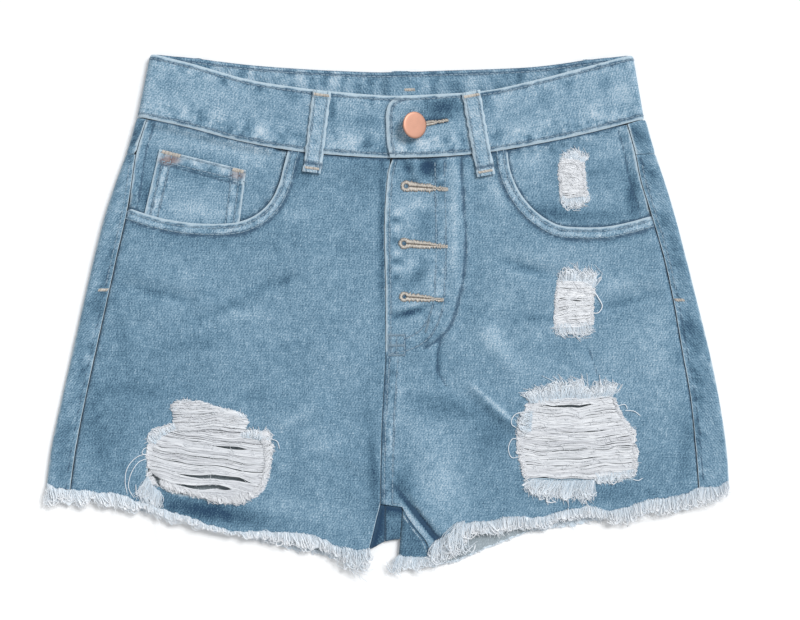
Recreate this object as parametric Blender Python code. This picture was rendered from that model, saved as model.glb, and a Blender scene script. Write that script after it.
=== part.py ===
"""Button-fly denim shorts with ripped fronts and frayed hems, laid flat with the front up.

Lengths are in millimetres until a mesh is written, which turns them to metres. X runs to the
wearer's left, Y up to the waist and Z up from the surface under the shorts. Left and right are
the wearer's. A table's columns are named above it.
"""

import math
import random

import bmesh
import bpy
import numpy as np
from mathutils import Vector
from mathutils.geometry import delaunay_2d_cdt
from mathutils.kdtree import KDTree

MM = 0.001

# Cloth and the clear space between pieces
CLOTH = 1.2
BAND = 2.2
SEAM = 0.3
REST = 0.45

# Middle of the outline, moved to the origin
MIDDLE_X = 0.53
MIDDLE_Y = 0.04

# Heights of the laid front above the surface
WAISTBAND_TOP = 8.0
TAB_TOP = 9.7
UNDERLAP_TOP = 7.1
SEAT_FOLD_TOP = 3.9
LEG_FOLD_TOP = 5.4
FLY_LIFT = 0.9
LIP_LIFT = 0.6
DEEP_FOLD_LIFT = 2.6
BACK_LIFT = 1.6
POCKET_DROP_RIGHT = 3.0
POCKET_DROP_LEFT = 1.5
FACING_RISE = 7.0

# Mesh spacing
FRONT_STEP = 13.0
BACK_STEP = 24.0
EDGE_STEP = 9.0
LEAST_AREA = 0.02
ARC_STEPS = 5

# Button and belt loops
BUTTON_ACROSS = 18.2
BUTTON_AT = (18.4, 128.2)
BUTTON_TILT = math.radians(30.0)
BUTTON_CLEAR = 0.5
SHANK_ACROSS = 2.8
LOOP_WIDTH = 12.6
BUTTONHOLE = ((14.8, 128.2), (40.5, 132.0))
EYE_RADIUS = 2.6
SLIT_HALF = 0.8
UNDERLAP_END = 36.0
# x, y of the tab's end, from its rounded upper corner to its foot
TAB_END = (
    (11.0, 149.1), (4.6, 146.6), (0.9, 142.6), (-0.4, 138.0), (-0.5, 127.0), (0.2, 116.0), (2.2, 107.2),
)

# y, wearer's right outline, right outseam, left outseam, left outline
SIDES = (
    (135, -170.0, -162.5, 161.8, 175.4),
    (109, -177.8, -170.7, 169.0, 182.9),
    (92, -184.0, -173.2, 172.4, 188.6),
    (73, -190.4, -176.1, 178.2, 194.5),
    (40, -199.2, -183.6, 188.0, 203.3),
    (8, -206.7, -190.7, 195.2, 211.5),
    (-25, -214.2, -198.2, 200.9, 219.6),
    (-58, -221.7, -205.4, 206.7, 226.4),
    (-90, -228.5, -211.5, 210.1, 231.2),
    (-125, -233.0, -216.4, 212.8, 233.6),
)

# share of half width, back top edge, front top edge, front seam, back seam
WAIST = (
    (-1.0, 178.0, 177.8, 135.0, 135.0),
    (-0.8, 174.5, 169.5, 127.5, 130.5),
    (-0.6, 170.6, 160.2, 118.4, 127.0),
    (-0.4, 168.0, 154.8, 112.0, 124.5),
    (-0.2, 166.3, 151.2, 108.5, 123.0),
    (0.0, 165.4, 149.0, 106.8, 122.4),
    (0.2, 166.6, 149.9, 107.6, 123.0),
    (0.4, 167.6, 152.6, 111.0, 124.5),
    (0.6, 169.3, 159.8, 117.0, 127.0),
    (0.8, 173.5, 168.4, 124.5, 130.5),
    (1.0, 177.3, 177.0, 133.6, 133.6),
)
WAIST_TOP = (3.2, 164.3)
WAIST_FOOT = (2.6, 172.6)
FOLD_SHARE = 1 - WAISTBAND_TOP / 2 / WAIST_TOP[1]

# y, height of the front's face
THICKNESS = ((180, 7.8), (110, 7.6), (60, 7.4), (15, 6.4), (-40, 5.8), (-180, 5.6))

# Edges of the pieces as points of x, y
FLY_EDGE = ((3.1, 105.4), (1.1, 97.5), (-0.3, 85.0), (-0.7, 10.2), (-0.6, -24.0))
RISE_EDGE = ((-0.6, -27.2), (-3.4, -77.5), (-4.1, -105.4), (-4.3, -128.5))
CROTCH_EDGE = ((-4.3, -128.5), (3.0, -129.6), (10.2, -130.6))
INSEAM_LEFT = ((10.2, -130.6), (13.0, -135.6), (19.5, -145.0), (27.2, -155.0), (29.9, -163.9))
INNER_EDGE_RIGHT = ((-4.6, -128.8), (-7.4, -139.4), (-10.0, -150.3), (-12.5, -160.2))
SCOOP_RIGHT = (
    (-66.6, 114.0), (-70.0, 101.3), (-73.0, 89.8), (-78.5, 78.2), (-87.9, 68.7),
    (-99.6, 63.5), (-115.2, 61.9), (-134.7, 62.7), (-158.2, 67.0), (-176.0, 72.8),
)
SCOOP_LEFT = (
    (81.6, 113.2), (83.6, 98.6), (90.4, 83.0), (104.0, 68.0), (116.3, 61.2),
    (132.6, 59.5), (148.9, 60.0), (165.2, 63.2), (179.4, 67.3),
)
HEM_FRONT_RIGHT = (
    (-215.8, -118.3), (-195.2, -119.7), (-174.8, -124.0), (-154.4, -126.8),
    (-134.0, -133.0), (-113.6, -138.2), (-93.2, -141.4), (-72.8, -144.8), (-52.4, -150.0),
    (-32.0, -155.2), (-12.5, -160.6),
)
HEM_FRONT_LEFT = (
    (29.9, -163.9), (36.0, -153.0), (44.2, -144.2), (56.4, -139.8), (70.0, -139.2),
    (97.2, -136.6), (114.2, -133.3), (132.6, -130.2), (158.4, -129.6), (172.0, -126.2),
    (189.0, -122.4), (212.0, -118.0),
)
HEM_BACK_RIGHT = (
    (-231.0, -117.6), (-215.6, -120.4), (-195.2, -123.8), (-174.8, -129.2),
    (-154.4, -133.3), (-134.0, -138.0), (-113.6, -144.2), (-93.2, -149.6),
    (-72.8, -155.0), (-52.4, -159.8), (-32.0, -162.9), (-14.3, -161.2),
)
HEM_BACK_LEFT = (
    (8.2, -165.2), (27.9, -168.4), (42.8, -168.6), (60.5, -161.8), (76.8, -155.0),
    (95.2, -148.2), (117.6, -141.8), (151.6, -136.0), (185.6, -130.4), (212.8, -124.4),
    (232.0, -118.6),
)
HEM_LEG_FOLD = ((7.9, -164.9), (18.0, -166.4), (29.6, -165.6))
SEAT_FOLD = ((-14.0, -160.6), (-9.0, -158.6), (-3.4, -155.4), (3.0, -153.6), (8.6, -153.0))
LEG_FOLD = ((10.6, -131.6), (8.9, -153.0), (7.9, -164.9))
SEAT_SEAM = ((-160, -1.4), (-120, -1.4), (125, 8.5))
BACK_LOOP_X = (-133.0, 9.5, 140.0)
SEAT_TURN_END = -126.0
YOKE_MIDDLE_Y = 72.0
YOKE_SIDE_Y = 110.0
DEEP_FOLD = ((2.0, -106.0), (8.0, -118.5), (15.6, -129.2), (25.8, -142.8), (37.0, -154.0))
FLY_RIDGE = (
    (50.3, 112.0), (50.3, 17.0), (47.6, 6.0), (42.2, -8.8), (34.7, -17.0), (25.2, -22.5),
    (12.0, -25.6), (-2.0, -26.6),
)
COIN_POCKET = ((-154.6, 112.7), (-95.7, 98.3), (-101.0, 57.5), (-166.4, 62.5))
BACK_POCKET = ((34, 66), (148, 82), (146, -30), (92, -56), (38, -42))

# x and y of one end, x and y of the other, half width, height
FOLDS = (
    (-177, 20, -136, 11, 5.0, -0.9),
    (-172, 29, -128, 22, 7.0, 0.5),
    (-110, 15, -80, 22, 7.0, -0.6),
    (-174, -47, -98, -51, 13.0, -0.5),
    (-75, -70, -48, -62, 8.0, 0.6),
    (-60, 60, -30, -30, 20.0, 0.6),
    (79, 37, 116, 27, 5.0, -0.9),
    (93, 0, 113, 3, 6.0, -0.6),
    (151, 6, 177, 15, 6.0, -0.8),
    (148, 18, 180, 26, 7.0, 0.7),
    (59, -49, 86, -75, 4.0, 1.0),
    (56, -56, 80, -80, 6.0, -0.7),
    (37, -20, 45, -52, 6.0, -0.6),
    (137, -22, 143, -40, 4.0, -0.5),
)

# name, thread strands, tufts above, tufts below, slope, numbers of the wide gaps
RIPS = {
    "rip_threads_thigh_right": (17, 8, 5, -0.12, (4, 11, 13)),
    "rip_threads_thigh_left": (19, 9, 9, -0.03, (1,)),
    "rip_threads_hip": (7, 4, 4, -0.05, ()),
    "rip_threads_pocket": (7, 2, 2, 0.0, ()),
}
# y, left edge, right edge of each hole
HOLES = {
    "rip_threads_thigh_right": (
        (-64, -143, -103), (-72, -144, -99), (-80, -155, -88), (-88, -159, -80),
        (-98, -160, -81), (-108, -158, -83), (-117, -150, -87), (-126, -130, -95),
    ),
    "rip_threads_thigh_left": (
        (-55, 101, 152), (-66, 98, 154), (-77, 93, 164), (-90, 91, 167),
        (-103, 93, 168), (-111, 96, 166),
    ),
    "rip_threads_hip": ((24, 117, 140), (8, 115, 139), (-9, 115, 139)),
    "rip_threads_pocket": ((107, 119, 131), (94, 119, 132), (79, 121, 135)),
}
RIP_REACH = 6.5
RING = 1.8
GAP = 1.0
WIDE_GAP = 4.4

# name: hem, strands, shortest, longest
FRINGES = {
    "fringe_front_right_outer": (((-230.0, -118.0), *HEM_FRONT_RIGHT[:5]), 19, 5.5, 10.5),
    "fringe_front_right_inner": (((-132.4, -133.5), *HEM_FRONT_RIGHT[5:]), 24, 5.5, 10.5),
    "fringe_front_left_inner": (HEM_FRONT_LEFT[:4], 8, 7.0, 12.0),
    "fringe_front_left_outer": (((58.0, -139.8), *HEM_FRONT_LEFT[4:], (231.0, -118.4)), 34, 7.0, 12.5),
    "fringe_back_right": (HEM_BACK_RIGHT, 32, 3.5, 7.0),
    "fringe_back_left": (HEM_BACK_LEFT, 32, 3.5, 7.0),
    "fringe_leg_fold": (HEM_LEG_FOLD, 5, 7.0, 9.5),
}
FRINGE_THICK = 0.8
FRINGE_BACKING = 1.5
BACK_FRINGE_FLOOR = 0.3
FRINGE_HANG = 1.4
FRINGE_LEAN = 0.12

# name: red, green, blue, roughness, metallic
FINISHES = {
    "washed_denim": (0.23, 0.37, 0.48, 0.9, 0.0),
    "cotton_thread": (0.72, 0.74, 0.76, 0.95, 0.0),
    "plated_copper": (0.80, 0.45, 0.34, 0.35, 0.9),
}


def smooth(rows):
    """A function through rows of place and value, with one slope at every row."""
    place, value = (np.array(column, float) for column in zip(*sorted(rows)))
    slope = np.gradient(value, place)

    def read(at):
        at = np.clip(np.asarray(at, float), place[0], place[-1])
        i = np.clip(np.searchsorted(place, at) - 1, 0, len(place) - 2)
        gap = place[i + 1] - place[i]
        t = (at - place[i]) / gap
        ends = value[i] * (2 * t**3 - 3 * t**2 + 1) + value[i + 1] * (3 * t**2 - 2 * t**3)
        return ends + gap * (slope[i] * (t**3 - 2 * t**2 + t) + slope[i + 1] * (t**3 - t**2))

    return read


def curve(points, step):
    """Points about a step apart on the smooth curve through the given ones."""
    points = np.array(points, float)
    along = np.concatenate([[0], np.cumsum(np.hypot(*np.diff(points, axis=0).T))])
    at = np.linspace(0, along[-1], max(2, round(along[-1] / step) + 1))
    columns = [smooth(zip(along, points[:, axis]))(at) for axis in (0, 1)]
    return np.column_stack(columns)


def line(points, step):
    """Points about a step apart on straight runs, with every corner kept."""
    rows = [np.array(points[0], float)]
    for start, end in zip(points[:-1], points[1:]):
        start, end = np.array(start, float), np.array(end, float)
        count = max(1, round(np.hypot(*(end - start)) / step))
        rows += [start + (end - start) * (i + 1) / count for i in range(count)]
    return np.array(rows)


def offset(points, distance):
    """The line moved sideways, to the left of its direction where the distance is positive."""
    points = np.asarray(points, float)
    ahead = np.gradient(points, axis=0)
    ahead /= np.hypot(ahead[:, 0], ahead[:, 1])[:, None]
    return points + distance * np.column_stack([-ahead[:, 1], ahead[:, 0]])


def ease(value, start, end):
    """0 before start, 1 after end and a soft step between."""
    t = np.clip((value - start) / (end - start), 0, 1)
    return t * t * (3 - 2 * t)


def segment_distance(x, y, ax, ay, bx, by):
    """Distance from each point to one straight segment."""
    run, rise = bx - ax, by - ay
    along = np.clip(((x - ax) * run + (y - ay) * rise) / (run**2 + rise**2), 0, 1)
    return np.hypot(x - ax - along * run, y - ay - along * rise)


def line_distance(x, y, points):
    """Distance from each point to a line of several segments."""
    runs = [segment_distance(x, y, *a, *b) for a, b in zip(points[:-1], points[1:])]
    return np.min(runs, axis=0)


def inside(x, y, polygon):
    """Whether each point is inside the polygon, by counting the edges crossed to its right."""
    crossed = np.zeros(np.shape(x), bool)
    for (ax, ay), (bx, by) in zip(polygon, np.roll(polygon, -1, axis=0)):
        if ay != by:
            crossed ^= ((ay > y) != (by > y)) & (x < ax + (y - ay) * (bx - ax) / (by - ay))
    return crossed


def depth_inside(x, y, polygon):
    """Distance to the polygon's edge, positive inside it."""
    closed = np.vstack([polygon, polygon[:1]])
    return np.where(inside(x, y, polygon), 1, -1) * line_distance(x, y, closed)


front_face = smooth(THICKNESS)
side_reads = [smooth([(row[0], row[column]) for row in SIDES]) for column in (1, 2, 3, 4)]
waist_reads = [smooth([(row[0], row[column]) for row in WAIST]) for column in (1, 2, 3, 4)]
back_top, front_top, front_seam, back_seam = waist_reads


def outline_x(side, y):
    return side_reads[0](y) if side < 0 else side_reads[3](y)


def outseam_x(side, y):
    return side_reads[1](y) if side < 0 else side_reads[2](y)


def seat_seam_x(y):
    """The seam down the middle of the back, skewed by the way the shorts lie."""
    return float(np.interp(y, *zip(*SEAT_SEAM)))


def foot_share(x):
    """Share of the waistband's half width at its seam."""
    return (x - WAIST_FOOT[0]) / WAIST_FOOT[1]


def waist_seam_line(start, end, drop=0.0):
    """The front seam below the waistband from one x to the other."""
    x = np.linspace(start, end, max(2, round(abs(end - start) / EDGE_STEP) + 1))
    return np.column_stack([x, front_seam(foot_share(x)) - drop])


fly_area = np.vstack([curve(FLY_RIDGE, 6), [(-8.0, -26.6), (-8.0, 118.0), (50.3, 118.0)]])
deep_fold = curve(DEEP_FOLD, 4)
rise_line = np.vstack([curve(RISE_EDGE, 8), curve(INNER_EDGE_RIGHT, 6)])


def folds(x, y):
    """The main creases as soft ridges and troughs."""
    height = np.zeros(np.shape(x))
    for ax, ay, bx, by, half_width, rise in FOLDS:
        height += rise * np.exp(-(segment_distance(x, y, ax, ay, bx, by) / half_width) ** 2)
    return height


def right_front_height(x, y):
    """Outer face of the right front: it laps proud of the rise seam along its inner edge."""
    lip = LIP_LIFT * np.exp(-line_distance(x, y, rise_line) / 9) * ease(-y, 20, 40)
    return front_face(y) + folds(x, y) + lip


def left_front_height(x, y):
    """Outer face of the left front: the fly stands proud, and a deep fold runs off the crotch."""
    fly = FLY_LIFT * ease(depth_inside(x, y, fly_area), -0.8, 0.8)
    distance = line_distance(x, y, deep_fold)
    (ax, ay), (bx, by) = deep_fold[0], deep_fold[-1]
    outer = (x - ax) * (ay - by) + (y - ay) * (bx - ax) > 0
    ridge = ease(distance, 0, 4.0) * np.exp(-np.clip(distance - 5, 0, None) / 22)
    strength = ease(-y, 108, 138)
    return front_face(y) + folds(x, y) + fly + strength * np.where(outer, DEEP_FOLD_LIFT * ridge, -0.2)


def waistband_height(x, y, side):
    """Outer face of the front of the waistband: the left end laps over the right end."""
    if side < 0:
        return WAISTBAND_TOP + (UNDERLAP_TOP - WAISTBAND_TOP) * ease(x, -11, -3)
    return WAISTBAND_TOP + (TAB_TOP - WAISTBAND_TOP) * ease(-x, -56, -42)


def back_loop_rows():
    """Middle, top and foot of each belt loop under the back."""
    rows = []
    for x in BACK_LOOP_X:
        share = foot_share(x)
        rows.append((x, float(back_top(share)) + 1.0, float(back_seam(share)) - 12.0))
    return rows


back_loops = back_loop_rows()
back_pockets = {side: np.array([(side * x, y) for x, y in BACK_POCKET], float) for side in (-1, 1)}


def back_lift(x, y):
    """How far the back is raised by the belt loops and pockets that lie under it."""
    x, y = np.asarray(x, float), np.asarray(y, float)
    lift = np.zeros(np.broadcast(x, y).shape)
    for middle, top, foot in back_loops:
        out = np.maximum(np.abs(x - middle) - LOOP_WIDTH / 2, np.maximum(y - top, foot - y))
        lift = np.maximum(lift, BACK_LIFT * ease(-out, -8, -1.2))
    for polygon in back_pockets.values():
        lift = np.maximum(lift, BACK_LIFT * ease(depth_inside(x, y, polygon), -10, -1.2))
    return lift


def beside_loops(across):
    """The places across the back, with those beside each belt loop put in."""
    low, high = min(across), max(across)
    reach = (LOOP_WIDTH / 2 + 1.4, LOOP_WIDTH / 2 + 8.0)
    added = [middle + side * out for middle, _, _ in back_loops for out in reach for side in (-1, 1)]
    added = [x for x in added if low + 2 < x < high - 2]
    kept = [x for x in across if x in (low, high) or min(abs(x - other) for other in added or [1e9]) > 3]
    return np.array(sorted(kept + added, reverse=bool(across[0] > across[-1])))


class Shell:
    """A cloth wall: points on the outer and the inner face, and the faces that join them."""

    def __init__(self):
        self.outer = []
        self.inner = []
        self.faces = []

    def grid(self, outer, inner):
        """Adds rows of points with a face between each four."""
        outer, inner = np.asarray(outer, float), np.asarray(inner, float)
        rows, columns = outer.shape[:2]
        start = len(self.outer)
        self.outer += list(outer.reshape(-1, 3))
        self.inner += list(inner.reshape(-1, 3))
        for r in range(rows - 1):
            for c in range(columns - 1):
                a = start + r * columns + c
                self.faces.append((a, a + 1, a + columns + 1, a + columns))

    def plan(self, edge, outer, inner, step, holes=(), lines=()):
        """Fills an outline with triangles, whose faces lie at the heights the functions give."""
        edge = np.asarray(edge, float)
        holes = [np.asarray(hole, float) for hole in holes]
        points, edges = [], []
        for ring in [edge, *holes]:
            first = len(points)
            points += list(ring)
            edges += [(first + i, first + (i + 1) % len(ring)) for i in range(len(ring))]
        for run in lines:
            first = len(points)
            points += list(run)
            edges += [(first + i, first + i + 1) for i in range(len(run) - 1)]
        low, high = edge.min(axis=0), edge.max(axis=0)
        columns = np.arange(low[0] + step / 2, high[0], step)
        rows = np.arange(low[1] + step / 2, high[1], step * 0.87)
        x, y = np.meshgrid(columns, rows)
        x = (x + step / 2 * (np.arange(len(rows)) % 2)[:, None]).ravel()
        y = y.ravel()
        keep = depth_inside(x, y, edge) > step * 0.45
        for hole in holes:
            keep &= depth_inside(x, y, hole) < -step * 0.45
        for run in lines:
            keep &= line_distance(x, y, np.asarray(run)) > step * 0.4
        points += list(np.column_stack([x[keep], y[keep]]))
        found, _, faces, origin, _, _ = delaunay_2d_cdt([Vector(p) for p in points], edges, [], 0, 1e-4)
        plane = np.array([points[ids[0]] if ids else tuple(v) for v, ids in zip(found, origin)])
        triangles = np.array(faces)
        middle = plane[triangles].mean(axis=1)
        first, second = (plane[triangles[:, i]] - plane[triangles[:, 0]] for i in (1, 2))
        area = np.abs(first[:, 0] * second[:, 1] - first[:, 1] * second[:, 0]) / 2
        kept = inside(middle[:, 0], middle[:, 1], edge) & (area > LEAST_AREA)
        for hole in holes:
            kept &= ~inside(middle[:, 0], middle[:, 1], hole)
        start = len(self.outer)
        self.outer += list(np.column_stack([plane, outer(plane[:, 0], plane[:, 1])]))
        self.inner += list(np.column_stack([plane, inner(plane[:, 0], plane[:, 1])]))
        self.faces += [tuple(int(i) + start for i in face) for face in triangles[kept]]

    def build(self, name, finish):
        """Joins points that meet, closes the rim and adds the object."""
        tree = KDTree(len(self.outer))
        for i, point in enumerate(self.outer):
            tree.insert(point, i)
        tree.balance()
        same = [min(index for _, index, _ in tree.find_range(point, 0.02)) for point in self.outer]
        faces = [tuple(same[i] for i in face) for face in self.faces]
        count = {}
        for face in faces:
            for a, b in zip(face, face[1:] + face[:1]):
                count.setdefault(frozenset((a, b)), []).append((a, b))
        rim = [found[0] for found in count.values() if len(found) == 1]
        mesh = bmesh.new()
        used = sorted({i for face in faces for i in face})
        low = {i: mesh.verts.new(placed(self.outer[i])) for i in used}
        high = {i: mesh.verts.new(placed(self.inner[i])) for i in used}
        for face in faces:
            mesh.faces.new([low[i] for i in face])
            mesh.faces.new([high[i] for i in reversed(face)])
        for a, b in rim:
            mesh.faces.new((low[b], low[a], high[a], high[b]))
        return add_object(name, mesh, finish)


def placed(point):
    """A point in metres, with the outline's middle at the origin."""
    return Vector(((point[0] - MIDDLE_X) * MM, (point[1] - MIDDLE_Y) * MM, point[2] * MM))


def add_object(name, mesh, finish):
    """Turns the faces outwards and puts the mesh in the scene as one named object."""
    bmesh.ops.recalc_face_normals(mesh, faces=mesh.faces)
    if mesh.calc_volume(signed=True) < 0:
        bmesh.ops.reverse_faces(mesh, faces=mesh.faces)
    data = bpy.data.meshes.new(name)
    mesh.to_mesh(data)
    mesh.free()
    data.materials.append(materials[finish])
    made = bpy.data.objects.new(name, data)
    made.parent = garment
    bpy.context.scene.collection.objects.link(made)
    return made


def finish_material(name, red, green, blue, roughness, metallic):
    """One plain Principled material."""
    material = bpy.data.materials.new(name)
    material.use_nodes = True
    shader = material.node_tree.nodes["Principled BSDF"]
    shader.inputs["Base Color"].default_value = (red, green, blue, 1)
    shader.inputs["Roughness"].default_value = roughness
    shader.inputs["Metallic"].default_value = metallic
    material.diffuse_color = (red, green, blue, 1)
    return material


def level(height):
    """The same height everywhere."""
    return lambda x, y: np.full(np.shape(x), float(height))


def cloth_under(height, wall=CLOTH):
    """The inner face below an outer one, moved down further on a slope to keep the wall."""
    reach = 0.5

    def read(x, y):
        across = (height(x + reach, y) - height(x - reach, y)) / (2 * reach)
        up = (height(x, y + reach) - height(x, y - reach)) / (2 * reach)
        return height(x, y) - wall * np.minimum(np.sqrt(1 + across**2 + up**2), 1.5)

    return read


def side_radius(y):
    return front_face(y) / 2


def side_wrap(shell, side, top, foot, rows, seam_gap):
    """The back carried round the side fold: a half circle, then flat to the outseam.

    top and foot give y from the share of the way round, 0 under the shorts to 1 at the outseam.
    """
    shares = [i / ARC_STEPS * 0.6 for i in range(ARC_STEPS + 1)] + [1.0]
    outer, inner = [], []
    for row in range(rows + 1):
        outer_row, inner_row = [], []
        for step, share in enumerate(shares):
            y = top(share) + (foot(share) - top(share)) * row / rows
            radius = float(side_radius(y))
            fold_x = float(outline_x(side, y)) - side * radius
            if step <= ARC_STEPS:
                turn = math.pi * step / ARC_STEPS
                x_out = fold_x + side * radius * math.sin(turn)
                x_in = fold_x + side * (radius - CLOTH) * math.sin(turn)
                outer_row.append((x_out, y, radius - radius * math.cos(turn)))
                inner_row.append((x_in, y, radius - (radius - CLOTH) * math.cos(turn)))
            else:
                x = float(outseam_x(side, y)) + side * seam_gap
                outer_row.append((x, y, 2 * radius))
                inner_row.append((x, y, 2 * radius - CLOTH))
        outer.append(outer_row)
        inner.append(inner_row)
    shell.grid(outer, inner)
    return [(row[0][0], row[0][1]) for row in outer]


def back_faces():
    """Outer face on the surface and inner face a wall above it."""
    return back_lift, lambda x, y: back_lift(x, y) + CLOTH


def yoke_seam_y(x):
    """The yoke seam under the back: deepest in the middle."""
    share = np.abs(np.asarray(x, float) - seat_seam_x(YOKE_MIDDLE_Y)) / 178.0
    return YOKE_MIDDLE_Y + (YOKE_SIDE_Y - YOKE_MIDDLE_Y) * share**0.9


def make_yoke(side):
    """Half of the yoke, from the middle of the back round the side fold to the outseam."""
    shell = Shell()
    seam_top = float(back_seam(side * FOLD_SHARE)), float(front_seam(side * FOLD_SHARE))
    strip_top = float(front_seam(foot_share(outseam_x(side, 132.0))))

    def top(share):
        return float(np.interp(share, (0, 0.6, 1), (*seam_top, strip_top))) - SEAM

    def foot(share):
        return YOKE_SIDE_Y - 1.0 * ease(share, 0.6, 1.0) + SEAM / 2

    column = side_wrap(shell, side, top, foot, 2, SEAM / 2)
    inner_top = seat_seam_x(122.0) + side * SEAM / 2
    inner_foot = seat_seam_x(YOKE_MIDDLE_Y) + side * SEAM / 2
    across = beside_loops(np.linspace(column[0][0], inner_top, 16))[1:]
    upper = [(x, float(back_seam(foot_share(x))) - SEAM) for x in across]
    loop_foot = back_loops[1][2]
    seam_rows = [loop_foot - below for below in (0, 1.4, 8, 22)]
    seam = [(seat_seam_x(y) + side * SEAM / 2, y) for y in seam_rows]
    across = np.linspace(inner_foot, column[-1][0], 18)[:-1]
    lower = [(x, float(yoke_seam_y(x)) + SEAM / 2) for x in across]
    edge = np.array(upper + seam + lower + column[::-1])
    outer, inner = back_faces()
    shell.plan(edge, outer, inner, BACK_STEP * 0.6, lines=yoke_lines(side))
    shell.build("yoke_left" if side > 0 else "yoke_right", "washed_denim")


def yoke_lines(side):
    """Lines where the yoke steps over the belt loops."""
    runs = []
    for middle, _, foot in back_loops:
        for out in (1.4, 8.0):
            left, right = middle - LOOP_WIDTH / 2 - out, middle + LOOP_WIDTH / 2 + out
            low, high = foot - out, float(back_seam(foot_share(middle))) - 2.0
            corners = [(left, high), (left, low), (right, low), (right, high)]
            if abs(middle - seat_seam_x(low)) <= 20:
                near = seat_seam_x(low) + side * 2.0
                far = right if side > 0 else left
                runs.append(line([(near, low), (far, low), (far, high)], 14))
            elif side * middle > 0:
                runs.append(line(corners, 14))
    return runs


def fold_up(shell, columns, fold, radius, end):
    """Cloth turned up along a fold that runs across: a half circle, then flat to its end."""
    outer, inner = [], []
    for step in range(ARC_STEPS + 1):
        turn = math.pi * step / ARC_STEPS
        for rows, reach in ((outer, radius), (inner, radius - CLOTH)):
            back, up = radius - reach * math.sin(turn), radius - reach * math.cos(turn)
            rows.append([(x, fold(x) + back, up) for x in columns])
    for share in (0.5, 1.0):
        row = [(x, (fold(x) + radius) * (1 - share) + end * share) for x in columns]
        outer.append([(x, y, 2 * radius) for x, y in row])
        inner.append([(x, y, 2 * radius - CLOTH) for x, y in row])
    shell.grid(outer, inner)
    return [(x, fold(x) + radius) for x in columns]


def leg_turn_up(shell, inseam):
    """The left leg's back turned up at its inner side, from the fold to the inseam."""
    fold_x = smooth([(y, x) for x, y in LEG_FOLD])
    seam_x = smooth([(y, x) for x, y in inseam])
    radius = LEG_FOLD_TOP / 2
    round_rows = [-153.6, -158.0, -161.5, -164.9]
    flat_rows = [-131.6, -137.0, -142.5, -148.0]
    shared = []
    outer, inner = [], []
    for y in round_rows:
        base = float(fold_x(y)) + radius
        outer_row, inner_row = [], []
        for step in range(ARC_STEPS + 1):
            turn = math.pi * step / ARC_STEPS
            small = radius - CLOTH
            outer_row.append((base - radius * math.sin(turn), y, radius - radius * math.cos(turn)))
            inner_row.append((base - small * math.sin(turn), y, radius - small * math.cos(turn)))
        outer.append(outer_row)
        inner.append(inner_row)
        shared.append(outer_row[0][:2])
    shell.grid(outer, inner)
    top_edge = [(float(fold_x(y)), y) for y in flat_rows]
    join = [(row[-1][0], row[-1][1]) for row in outer]
    hem = curve([(join[-1][0], -164.9), (20.0, -166.3), (29.3, -165.4)], 6)[1:]
    seam_rows = (-163.0, -159.0, -155.0, -150.0, -145.0, -140.0, -135.6)
    seam = [(float(seam_x(y)) - SEAM, y) for y in seam_rows]
    edge = np.array(top_edge + join + [tuple(p) for p in hem] + seam)
    shell.plan(edge, level(LEG_FOLD_TOP), level(LEG_FOLD_TOP - CLOTH), 9)
    return shared


def make_back(side):
    """Half of the back: flat under the shorts, round the side fold and turned up at the seat."""
    shell = Shell()
    hem = HEM_BACK_LEFT if side > 0 else HEM_BACK_RIGHT
    hem_side = hem[-1] if side > 0 else hem[0]
    front_hem = HEM_FRONT_LEFT[-1] if side > 0 else HEM_FRONT_RIGHT[0]

    def top(share):
        return YOKE_SIDE_Y - 1.0 * ease(share, 0.6, 1.0) - SEAM / 2

    def foot(share):
        return hem_side[1] + (front_hem[1] - hem_side[1]) * share

    column = side_wrap(shell, side, top, foot, 14, SEAM / 2)
    inner_x = seat_seam_x(SEAT_TURN_END) + side * SEAM / 2
    inner_top = seat_seam_x(YOKE_MIDDLE_Y) + side * SEAM / 2
    fold_y = smooth(SEAT_FOLD)
    radius = SEAT_FOLD_TOP / 2
    if side > 0:
        seat_columns = list(np.linspace(inner_x, 8.0, 4))
    else:
        seat_columns = list(np.linspace(inner_x, -13.0, 5))
    seat_row = fold_up(shell, seat_columns, lambda x: float(fold_y(x)), radius, SEAT_TURN_END)
    corner_x, corner_y = column[-1]
    inner_hem = curve(hem, EDGE_STEP * 1.4)
    if side > 0:
        shared = leg_turn_up(shell, INSEAM_LEFT)
        run = [p for p in inner_hem if shared[-1][0] + 6 < p[0] < corner_x - 6]
        lower = seat_row + shared + [tuple(p) for p in run]
    else:
        run = [p for p in inner_hem[::-1] if corner_x + 6 < p[0] < -14.2]
        lower = seat_row + [tuple(p) for p in run]
    seam = line([(inner_top, YOKE_MIDDLE_Y - SEAM / 2), (inner_x, -120.0), seat_row[0]], 16)[:-1]
    across = np.linspace(column[0][0], inner_top, 14)[1:-1]
    upper = [(x, float(yoke_seam_y(x)) - SEAM / 2) for x in across]
    edge = np.array(upper + [tuple(p) for p in seam] + lower + column[::-1])
    outer, inner = back_faces()
    pocket = back_pockets[side]
    rings = [grown(pocket, out) for out in (1.4, 10.0)]
    around = [line(np.vstack([ring, ring[:1]]), 16) for ring in rings]
    shell.plan(edge, outer, inner, BACK_STEP, lines=around)
    shell.build("back_left" if side > 0 else "back_right", "washed_denim")


def grown(polygon, distance):
    """The polygon with every corner moved out from its middle."""
    middle = polygon.mean(axis=0)
    away = polygon - middle
    length = np.hypot(away[:, 0], away[:, 1])[:, None]
    return middle + away * (1 + distance * 1.25 / length)


def make_back_pocket(side):
    """A plain patch pocket, flat on the surface under the back."""
    shell = Shell()
    edge = line(np.vstack([back_pockets[side], back_pockets[side][:1]]), 30)[:-1]
    shell.plan(edge, level(0), level(CLOTH), 60)
    shell.build("back_pocket_left" if side > 0 else "back_pocket_right", "washed_denim")


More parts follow.
